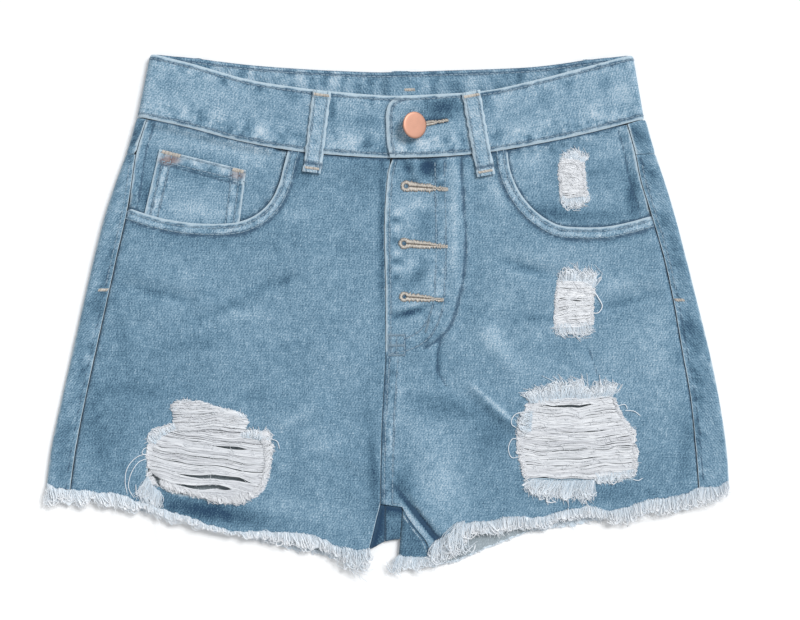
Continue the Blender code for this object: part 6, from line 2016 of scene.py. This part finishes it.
# Ends of the loose fibres along each hem
FRINGE_TIPS = {
    -1: (
        (-234.6, -120.3), (-229.3, -129.1), (-226.4, -135.3), (-223.6, -131.5), (-216.9, -131.9),
        (-213, -130.1), (-204.5, -130.1), (-200.7, -127.2), (-194, -130.6), (-186.4, -131.9),
        (-179.7, -134.8), (-174.9, -136.7), (-170.1, -136.7), (-167.3, -131.9), (-159.7, -135.8),
        (-154, -139.6), (-146.3, -145.8), (-140.6, -141.6), (-131, -143.5), (-121.5, -146.8),
        (-102.5, -150.6), (-93.2, -152), (-78.2, -155.4), (-65.3, -159), (-59.2, -160.4), (-47.3, -163),
        (-37.4, -163.5), (-30, -168), (-23.4, -175), (-16.4, -175), (-12.6, -168),
    ),
    1: (
        (28.6, -166), (36, -170), (45.8, -169.5), (50.3, -162), (53, -153), (66, -151.6), (79, -151.6),
        (92, -148.4), (103.7, -145.2), (108.9, -146.4), (112.8, -143.8), (127.1, -140.6), (150.5, -139.4),
        (153.1, -142.6), (160.9, -145.2), (170, -141.4), (177.8, -138), (185.6, -138), (192.2, -139.4),
        (199.9, -136.8), (209, -134), (218.1, -130.8), (224.7, -129), (234, -122),
    ),
}
LEG_FOLD_TIPS = ((3.5, -172.6), (6.5, -180.2), (11.5, -176.8), (21.5, -175.2), (30.5, -173.6))

# Long tufts of the inner hems: seed after the fringe's own, density, lift, curl, root line and tip line
HEM_TUFTS = {
    "fringe_front_left_inner": (
        (4, 9, 2.4, 0.25, ((30, -157), (38.5, -150)), ((28.5, -170), (34, -173.5), (40.5, -175.5))),
        (8, 8, 2.4, 0.25, ((39, -149.4), (44.4, -147), (46.2, -141.4), (53, -139.8)), ((38.5, -166.5),
            (45, -168.5), (53, -163))),
    ),
    "fringe_front_right_inner": (
        (4, 6, 2.6, 0.7, ((-31, -159), (-14, -161)), ((-29, -172), (-22, -177.5), (-15, -175))),
    ),
}


def between(line, low, high):
    """The part of a line of rising x between two places, ending exactly at both."""
    line, = ordered((line,), False)
    return on_line(line, np.concatenate([[low], line[(line[:, 0] > low) & (line[:, 0] < high), 0], [high]]))


def reach_of(name):
    """Where the solid of a fringe starts and ends along x."""
    return (float(end.x) / MM + MIDDLE[0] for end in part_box(name))


def make_front_fringe(name, side):
    """The frayed hem of part of a front: thick loose fibres over a matted root."""
    low, high = reach_of(name)
    if side < 0:
        hem = curve(((-233, -115), (-222, -120), (-216.4, -119.6), *HEM_FRONT_RIGHT[1:]), 4)
    else:
        hem = curve((*HEM_FRONT_LEFT[:-1], (213, -119.4), (221, -119), (233, -115)), 4)
    low, high = low - 1, high + 1
    root = spaced(between(hem, low, high) + (0, 1.6), 1.3)
    x = root[:, 0]
    root[:, 1] += 0.9 * clouds(x, 0, 3.4, 91) + 0.6 * clouds(x, 0, 8, 92)
    tip = between(FRINGE_TIPS[side], low, high)

    def ground(x, y):
        below = np.clip(np.interp(x, hem[:, 0], hem[:, 1]) - y, 0, None)
        over_strip = np.abs(x) > np.abs(outseam_x(side, -118))
        top = np.where(over_strip, front_face(y) + 0.2, front_height(side, x, np.maximum(y, -170)))
        return top - 0.35 - 1.6 * ease(below, 0, 16)

    seed = 700 + len(name) + round(high)
    density = 4.8 if side < 0 and high < -80 else 5.6
    curl, hook, shape = 0.35, 0.9, {"clump": 2.1, "ragged": 0.3}
    if side < 0:
        curl, hook, shape = 0.6, 1, {"clump": 3.6, "ragged": 0.42}
    run = high - low
    fine = {"lift": 1.7, "curl": curl, "low": 0.15, "pale": 0.3, **shape}
    thick = {"lift": 2, "curl": 0.6 * curl, "low": 0.5, "pale": 0.45, "width": 0.85, "hook": hook, **shape}
    patches = [
        fleece(root, tip, ground, seed, 0.7, 0.7, 0.6),
        brush(root, tip, round(run * density), ground, seed + 1, **fine),
        brush(root, tip, round(run * 1.5), ground, seed + 2, **thick),
    ]
    for after, density, lift, curl, root, tip in HEM_TUFTS.get(name, ()):
        patches += tuft(root, tip, ground, seed + after, density, lift=lift, curl=curl, low=0.8)
    return cotton_piece(name, patches)


def make_back_fringe(name, side):
    """The frayed hem of a back, seen under the front's."""
    low, high = reach_of(name)
    hem = between(curve(HEM_BACK[side], 4), low + 0.5, high - 0.5)
    x = hem[:, 0]
    long = 4.6 - 3.2 * ease(x, 34, 44) * (1 - ease(x, 96, 108))
    lines = hem + (0, 1), hem - pairs(0, long * (1 + 0.35 * clouds(x, 0, 7, 33)))

    def ground(x, y):
        return 0.35

    patches = [
        fleece(*lines, ground, 760 + side, 0.6, 0.7, 0.2),
        brush(*lines, round((high - low) * 3.2), ground, 761 + side, lift=0.9, clump=1.6, ragged=0.35),
    ]
    return cotton_piece(name, patches)


def make_leg_fold_fringe():
    """The frayed hem of the turned up left leg."""
    root = between(((7, -164.9), (20, -166.2), (30, -165.4)), 7.6, 29.6) + (0, 1.4)

    def ground(x, y):
        return 5.0 - 0.14 * np.clip(-165 - y, 0, 14)

    return cotton_piece("fringe_leg_fold", tuft(root, LEG_FOLD_TIPS, ground, 781, 9, lift=1.3, ragged=0.3))


def stitching(name, plain, tan=()):
    """Rows of stitches and tacks as one object, in the topstitch colour and in tan.

    Threads under the shorts are pressed flat on the surface: a depth below 0.1 mm becomes 0.1 mm times
    an exponential of how far below it was.
    """
    patch = joined([numbered(parts, number) for number, parts in enumerate((plain, tan)) if parts])
    z = patch.points[:, 2]
    patch.points[:, 2] = np.where(z < 0.1, 0.1 * np.exp(np.minimum(z - 0.1, 0) / 0.1), z)
    finishes = ("topstitch", "tan") if tan else ("topstitch",)
    return add_piece("stitching_" + name, patch, finishes)


def stitch_rows(place, rows, seed):
    return [stitch_row(place, 1, row, seed + i) for i, row in enumerate(rows)]


# Eye, far end, reach of the eye and half width of each buttonhole of the fly
FLY_BUTTONHOLES = (
    ((13, 87.4), (41.2, 85.2), 3.9, 3.3), ((11.6, 48.6), (41, 46.4), 3.9, 3),
    ((11.8, 12.4), (38.2, 10.2), 3.5, 2.8),
)


def make_front_stitching(side):
    """Topstitching and tacks of a front."""
    place = front_place(side)
    plain, tan = stitch_rows(place, front_rows(side), 800 + 40 * side), []
    if side > 0:
        plain.append(bartack(place, 1, (26.2, -11.6), (29, -2.8), 1.7, 831))
        plain += [bartack(place, 1, *ends, 1.6, 832 + i) for i, ends in enumerate(FLY_BOX[:3])]
        tan += [buttonhole(place, 1, *row, 840 + i) for i, row in enumerate(FLY_BUTTONHOLES)]
    return stitching(sided("front", side), plain, tan)


def make_back_stitching(side):
    """Topstitching of a back, of its yoke and of its pocket."""
    place = back_place(side)
    edge = side_lines(side)[0]
    top, foot, tack_y = (104, 13, 10.2) if side > 0 else (106, 19, 17)
    strip = edge[(edge[:, 1] < top) & (edge[:, 1] > foot)] - (2.8, 0)
    seat = np.array([(side * seat_seam_x(y) + 3, y) for y in np.linspace(70, -118, 30)])
    u = np.linspace(12, 165, 50)
    plain = [
        stitch_row(place, -side, row, 861 + side + 2 * i)
        for i, row in enumerate((strip, seat, pairs(u, yoke_seam_y(side * u) + 2.6)))
    ]
    ring = np.array(BACK_POCKET, float)
    inner = spaced(np.vstack([ring[2:], ring[:2]]), 6) * 0.98 + (1.9, 0.3)
    plain.append(stitch_row(lambda u, v: stacked(side * u, v, 0.25), -side, inner, 867 + side))
    tack_x = float(strip_out(side, tack_y))
    tan = [bartack(place, -side, (tack_x - 7, tack_y), (tack_x - 1, tack_y), 2, 869 + side)]
    return stitching(sided("back", side), plain, tan)


def make_pocket_stitching():
    """Topstitching of the coin pocket, and its tacks, one with a rust mark."""
    tan = [
        bartack(coin_place, 1, (-152.6, 111), (-140.6, 107.9), 2.4, 891),
        bartack(coin_place, 1, (-104.6, 98.8), (-97.6, 97.2), 2.4, 892),
    ]
    return stitching("coin_pocket", stitch_rows(coin_place, coin_rows(), 880), tan)


def make_band_stitching():
    """Topstitching of the waistband, the worked hole of its button, and the row inside its back."""
    tab, lap = band_ends()
    q = np.linspace(lap[:, 0].mean() + 3, tab[:, 0].max() - 6, 420)
    plain = stitch_rows(band_place, [pairs(q, 2.7), pairs(q, 39.2), offset(tab, 3.4)[3:-2]], 901)
    wall = size_of("band_wall")

    def inside_band(u, v):
        return laid(band_place, 1, np.stack([u, v], -1), np.full(np.shape(u), -wall))

    plain.append(stitch_row(inside_band, -1, pairs(np.linspace(-150, 150, 160), 3), 911))
    eye, end = (band_at(np.array(x), np.array(y), 1) for x, y in ((14.8, 128.2), (41.6, 132.2)))
    tan = [
        buttonhole(band_place, 1, eye, end, 4.2, 2, 912), bartack(inside_band, -1, (9, 12), (15, 12), 2, 913),
    ]
    return stitching("waistband", plain, tan)


def make_loop_stitching():
    """Two rows down each front belt loop and a tack at both ends."""
    plain, tan = [], []
    for i, ends in enumerate(LOOPS.values()):
        place, length = loop_place(*ends)
        for reach, seed in ((-3.9, 926), (3.9, 934)):
            plain.append(stitch_row(place, -1, spaced(pairs(reach, (3, length - 3)), 3), seed + 4 * i))
        for half, v, width, seed in ((5, 3, 1.9, 940), (4.6, length - 2.9, 1.7, 950)):
            tan.append(bartack(place, -1, (-half, v), (half, v), width, seed + i))
    return stitching("belt_loops", plain, tan)


def make_button():
    """The shank button: a spun copper cap, tilted as it lies against the waistband."""
    lo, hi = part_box("button")
    radius = float(hi.y - lo.y) / MM / 2
    tilt = BUTTON_TILT
    cap_z = TAB_TOP + 0.5 + radius * math.sin(tilt)
    shank = (cap_z - UNDERLAP_TOP - 1.4) / math.cos(tilt)
    profile = (
        (0, -shank), (1.35, -shank), (1.4, -shank + 0.1), (1.4, -0.6), (1.6, -0.45), (0.8 * radius, -0.25),
        (0.93 * radius, -0.1), (0.98 * radius, 0.15), (radius, 0.5), (0.995 * radius, 0.85),
        (0.975 * radius, 1.15), (0.94 * radius, 1.36), (0.89 * radius, 1.47), (0.8 * radius, 1.52),
        (0.6 * radius, 1.57), (0.4 * radius, 1.6), (0.2 * radius, 1.62), (0, 1.62),
    )
    reach, height = (np.array(column) for column in zip(*profile[1:-1]))
    turn = np.linspace(0, 2 * math.pi, 64, endpoint=False)
    around = reach[:, None] * np.cos(turn), reach[:, None] * np.sin(turn), height[:, None] + 0 * turn
    x = around[0] * math.cos(tilt) + around[2] * math.sin(tilt)
    z = around[2] * math.cos(tilt) - around[0] * math.sin(tilt)
    rings = stacked(BUTTON_AT[0] + x, BUTTON_AT[1] + around[1], cap_z + z)[None]
    zero = np.zeros((1, len(reach)))
    patch = turned_out(tubes(rings, {"shade": zero}))
    return add_piece("button_cap", patch, ("copper",), ("button",), sharp=50)


def make_stage():
    """A pale floor, a camera straight above and soft light from the upper right."""
    floor_mesh = bpy.data.meshes.new("studio_floor")
    corners = [(x, y, -0.0004) for x, y in ((-3, -3), (3, -3), (3, 3), (-3, 3))]
    floor_mesh.from_pydata(corners, [], [(0, 1, 2, 3)])
    floor_mesh.materials.append(matt_paper("matt_paper", bpy.context.scene.shorts_colours.floor))
    floor = bpy.data.objects.new("studio_floor", floor_mesh)
    bpy.context.scene.collection.objects.link(floor)
    lens = bpy.data.cameras.new("camera")
    lens.lens, lens.sensor_width = 85, 36.0
    camera = bpy.data.objects.new("camera", lens)
    camera.location = (0.00831, 0.00336, 1.29)
    bpy.context.scene.collection.objects.link(camera)
    bpy.context.scene.camera = camera
    lamp = bpy.data.lights.new("softbox_sun", "SUN")
    lamp.energy = 2.25
    lamp.angle = math.radians(22)
    sun = bpy.data.objects.new("softbox_sun", lamp)
    sun.rotation_euler = (math.radians(-24), math.radians(31), 0)
    bpy.context.scene.collection.objects.link(sun)
    world = bpy.data.worlds.new("studio_white")
    world.use_nodes = True
    sky = world.node_tree.nodes["Background"]
    sky.inputs["Color"].default_value = (0.96, 0.98, 1, 1)
    sky.inputs["Strength"].default_value = 0.6
    bpy.context.scene.world = world
    bpy.context.scene.view_settings.view_transform = "Standard"


def colour(label, text, note):
    """A colour property whose default is an sRGB hex."""
    return bpy.props.FloatVectorProperty(
        name=label, description=note, subtype="COLOR", size=4, min=0, max=1, default=linear(text)
    )


def length(label, value, note):
    """A length property in metres."""
    return bpy.props.FloatProperty(
        name=label, description=note, default=value, min=0.00005, unit="LENGTH", precision=5
    )


class ShortsSizes(bpy.types.PropertyGroup):
    """Sizes of the cloth and thread."""

    cloth_wall: length("Cloth wall", 0.0012, "Thickness of one layer of denim")
    band_wall: length("Waistband wall", 0.0022, "Thickness of the folded waistband")
    front_step: length("Front mesh step", 0.00148, "Spacing of the mesh on the fronts")
    stitch_length: length("Stitch length", 0.0027, "Length of one topstitch")
    stitch_width: length("Stitch width", 0.0007, "Width of the topstitching thread")
    thread_width: length("Weft width", 0.00076, "Width of a thread left across a rip")
    fibre_width: length("Fibre width", 0.00042, "Width of a loose fibre of a frayed edge")


class ShortsColours(bpy.types.PropertyGroup):
    """Colours of the cloth, thread and metal."""

    # The darkest stop of the wash ramp: unfaded cloth in creases, and also the painted shadow beside the deep
    # fold and under the crotch edge.
    indigo_deep: colour("Deep indigo", "#203f5b", "Unfaded creases")
    indigo_dark: colour("Dark indigo", "#48697f", "Dark clouds of the wash")
    indigo: colour("Indigo", "#688aa1", "The wash itself")
    indigo_light: colour("Light indigo", "#92aec1", "Light clouds of the wash")
    indigo_pale: colour("Pale indigo", "#c2d1dc", "The palest flecks")
    worn: colour("Worn edge", "#b7c9d4", "Rubbed edges and folds")
    # Painted shade: the colour mixed into the dark lines in grooves, in stitch rows and under raised edges,
    # and also the unfaded dye beside seams.
    seam_dark: colour("Seam shade", "#34516a", "Unfaded cloth beside seams")
    wrong_side: colour("Wrong side", "#9fabb2", "The pale inside of the cloth")
    thread_root: colour("Thread root", "#c8d9e5", "Loose cotton where it leaves the cloth")
    thread: colour("Thread", "#f6f7f9", "Loose cotton at its palest")
    thread_dull: colour("Thread shade", "#9db0c0", "Dull gaps between fibres")
    weft: colour("Weft", "#d7dade", "Threads left across a rip")
    weft_dull: colour("Weft shade", "#9a9ba3", "Dull gaps between those threads")
    topstitch: colour("Topstitch", "#8ea5b5", "Faded sewing thread")
    tan: colour("Tan thread", "#d5cfc6", "Thread of the tacks and buttonholes")
    tan_dull: colour("Tan shade", "#4d3d30", "Dull side of the tan thread")
    copper: colour("Copper", "#d3a28d", "Plating of the button")
    floor: colour("Floor", "#fbfbfb", "Studio paper")


class SHORTS_OT_stage(bpy.types.Operator):
    """Adds the floor, the camera and the light."""

    bl_idname = "shorts.stage"
    bl_label = "Stage"

    def execute(self, context):
        make_stage()
        return {"FINISHED"}


class SHORTS_OT_backs(bpy.types.Operator):
    """Adds both backs with their yokes, patch pockets and belt loops."""

    bl_idname = "shorts.backs"
    bl_label = "Backs"

    def execute(self, context):
        for side in (-1, 1):
            make_back(side)
            make_yoke(side)
            make_back_pocket(side)
        for name, row in zip(("right", "middle", "left"), back_loops):
            make_back_loop("belt_loop_back_" + name, *row)
        return {"FINISHED"}


class SHORTS_OT_fronts(bpy.types.Operator):
    """Adds both fronts with their pocket scoops and worn holes."""

    bl_idname = "shorts.fronts"
    bl_label = "Fronts"

    def execute(self, context):
        make_front(-1)
        make_front(1)
        return {"FINISHED"}


class SHORTS_OT_pockets(bpy.types.Operator):
    """Adds the pocket facings and the coin pocket."""

    bl_idname = "shorts.pockets"
    bl_label = "Pockets"

    def execute(self, context):
        make_facing(-1)
        make_facing(1)
        make_coin_pocket()
        return {"FINISHED"}


class SHORTS_OT_waistband(bpy.types.Operator):
    """Adds the waistband and the front belt loops."""

    bl_idname = "shorts.waistband"
    bl_label = "Waistband"

    def execute(self, context):
        make_waistband()
        for name in LOOPS:
            make_front_loop(name)
        return {"FINISHED"}


class SHORTS_OT_rips(bpy.types.Operator):
    """Adds the threads and tufts of the four rips."""

    bl_idname = "shorts.rips"
    bl_label = "Rips"

    def execute(self, context):
        for name in RIPS:
            make_rip(name)
        return {"FINISHED"}


class SHORTS_OT_fringes(bpy.types.Operator):
    """Adds the frayed hems."""

    bl_idname = "shorts.fringes"
    bl_label = "Frayed hems"

    def execute(self, context):
        for name, side in (("right_outer", -1), ("right_inner", -1), ("left_inner", 1), ("left_outer", 1)):
            make_front_fringe("fringe_front_" + name, side)
        make_back_fringe("fringe_back_right", -1)
        make_back_fringe("fringe_back_left", 1)
        make_leg_fold_fringe()
        return {"FINISHED"}


class SHORTS_OT_stitching(bpy.types.Operator):
    """Adds the topstitching, the tacks and the worked buttonholes."""

    bl_idname = "shorts.stitching"
    bl_label = "Stitching"

    def execute(self, context):
        for side in (-1, 1):
            make_front_stitching(side)
            make_back_stitching(side)
        make_pocket_stitching()
        make_band_stitching()
        make_loop_stitching()
        return {"FINISHED"}


class SHORTS_OT_button(bpy.types.Operator):
    """Adds the button."""

    bl_idname = "shorts.button"
    bl_label = "Button"

    def execute(self, context):
        make_button()
        return {"FINISHED"}


OPERATORS = (
    SHORTS_OT_stage, SHORTS_OT_backs, SHORTS_OT_fronts, SHORTS_OT_pockets, SHORTS_OT_waistband,
    SHORTS_OT_rips, SHORTS_OT_fringes, SHORTS_OT_stitching, SHORTS_OT_button,
)


class SHORTS_PT_panel(bpy.types.Panel):
    """Buttons that add the pieces, and their sizes and colours."""

    bl_idname = "SHORTS_PT_panel"
    bl_label = "Laid denim shorts"
    bl_space_type = "VIEW_3D"
    bl_region_type = "UI"
    bl_category = "Shorts"

    def draw(self, context):
        for operator in OPERATORS:
            self.layout.operator(operator.bl_idname)
        for group in (context.scene.shorts_sizes, context.scene.shorts_colours):
            for key in group.__annotations__:
                self.layout.prop(group, key)


CLASSES = (ShortsSizes, ShortsColours, *OPERATORS, SHORTS_PT_panel)


def register():
    for made in CLASSES:
        bpy.utils.register_class(made)
    bpy.types.Scene.shorts_sizes = bpy.props.PointerProperty(type=ShortsSizes)
    bpy.types.Scene.shorts_colours = bpy.props.PointerProperty(type=ShortsColours)


def unregister():
    del bpy.types.Scene.shorts_colours
    del bpy.types.Scene.shorts_sizes
    for made in reversed(CLASSES):
        bpy.utils.unregister_class(made)


def main():
    """Builds every piece through its operator."""
    register()
    for operator in OPERATORS:
        getattr(bpy.ops.shorts, operator.bl_idname.split(".")[1])()


if __name__ == "__main__":
    main()
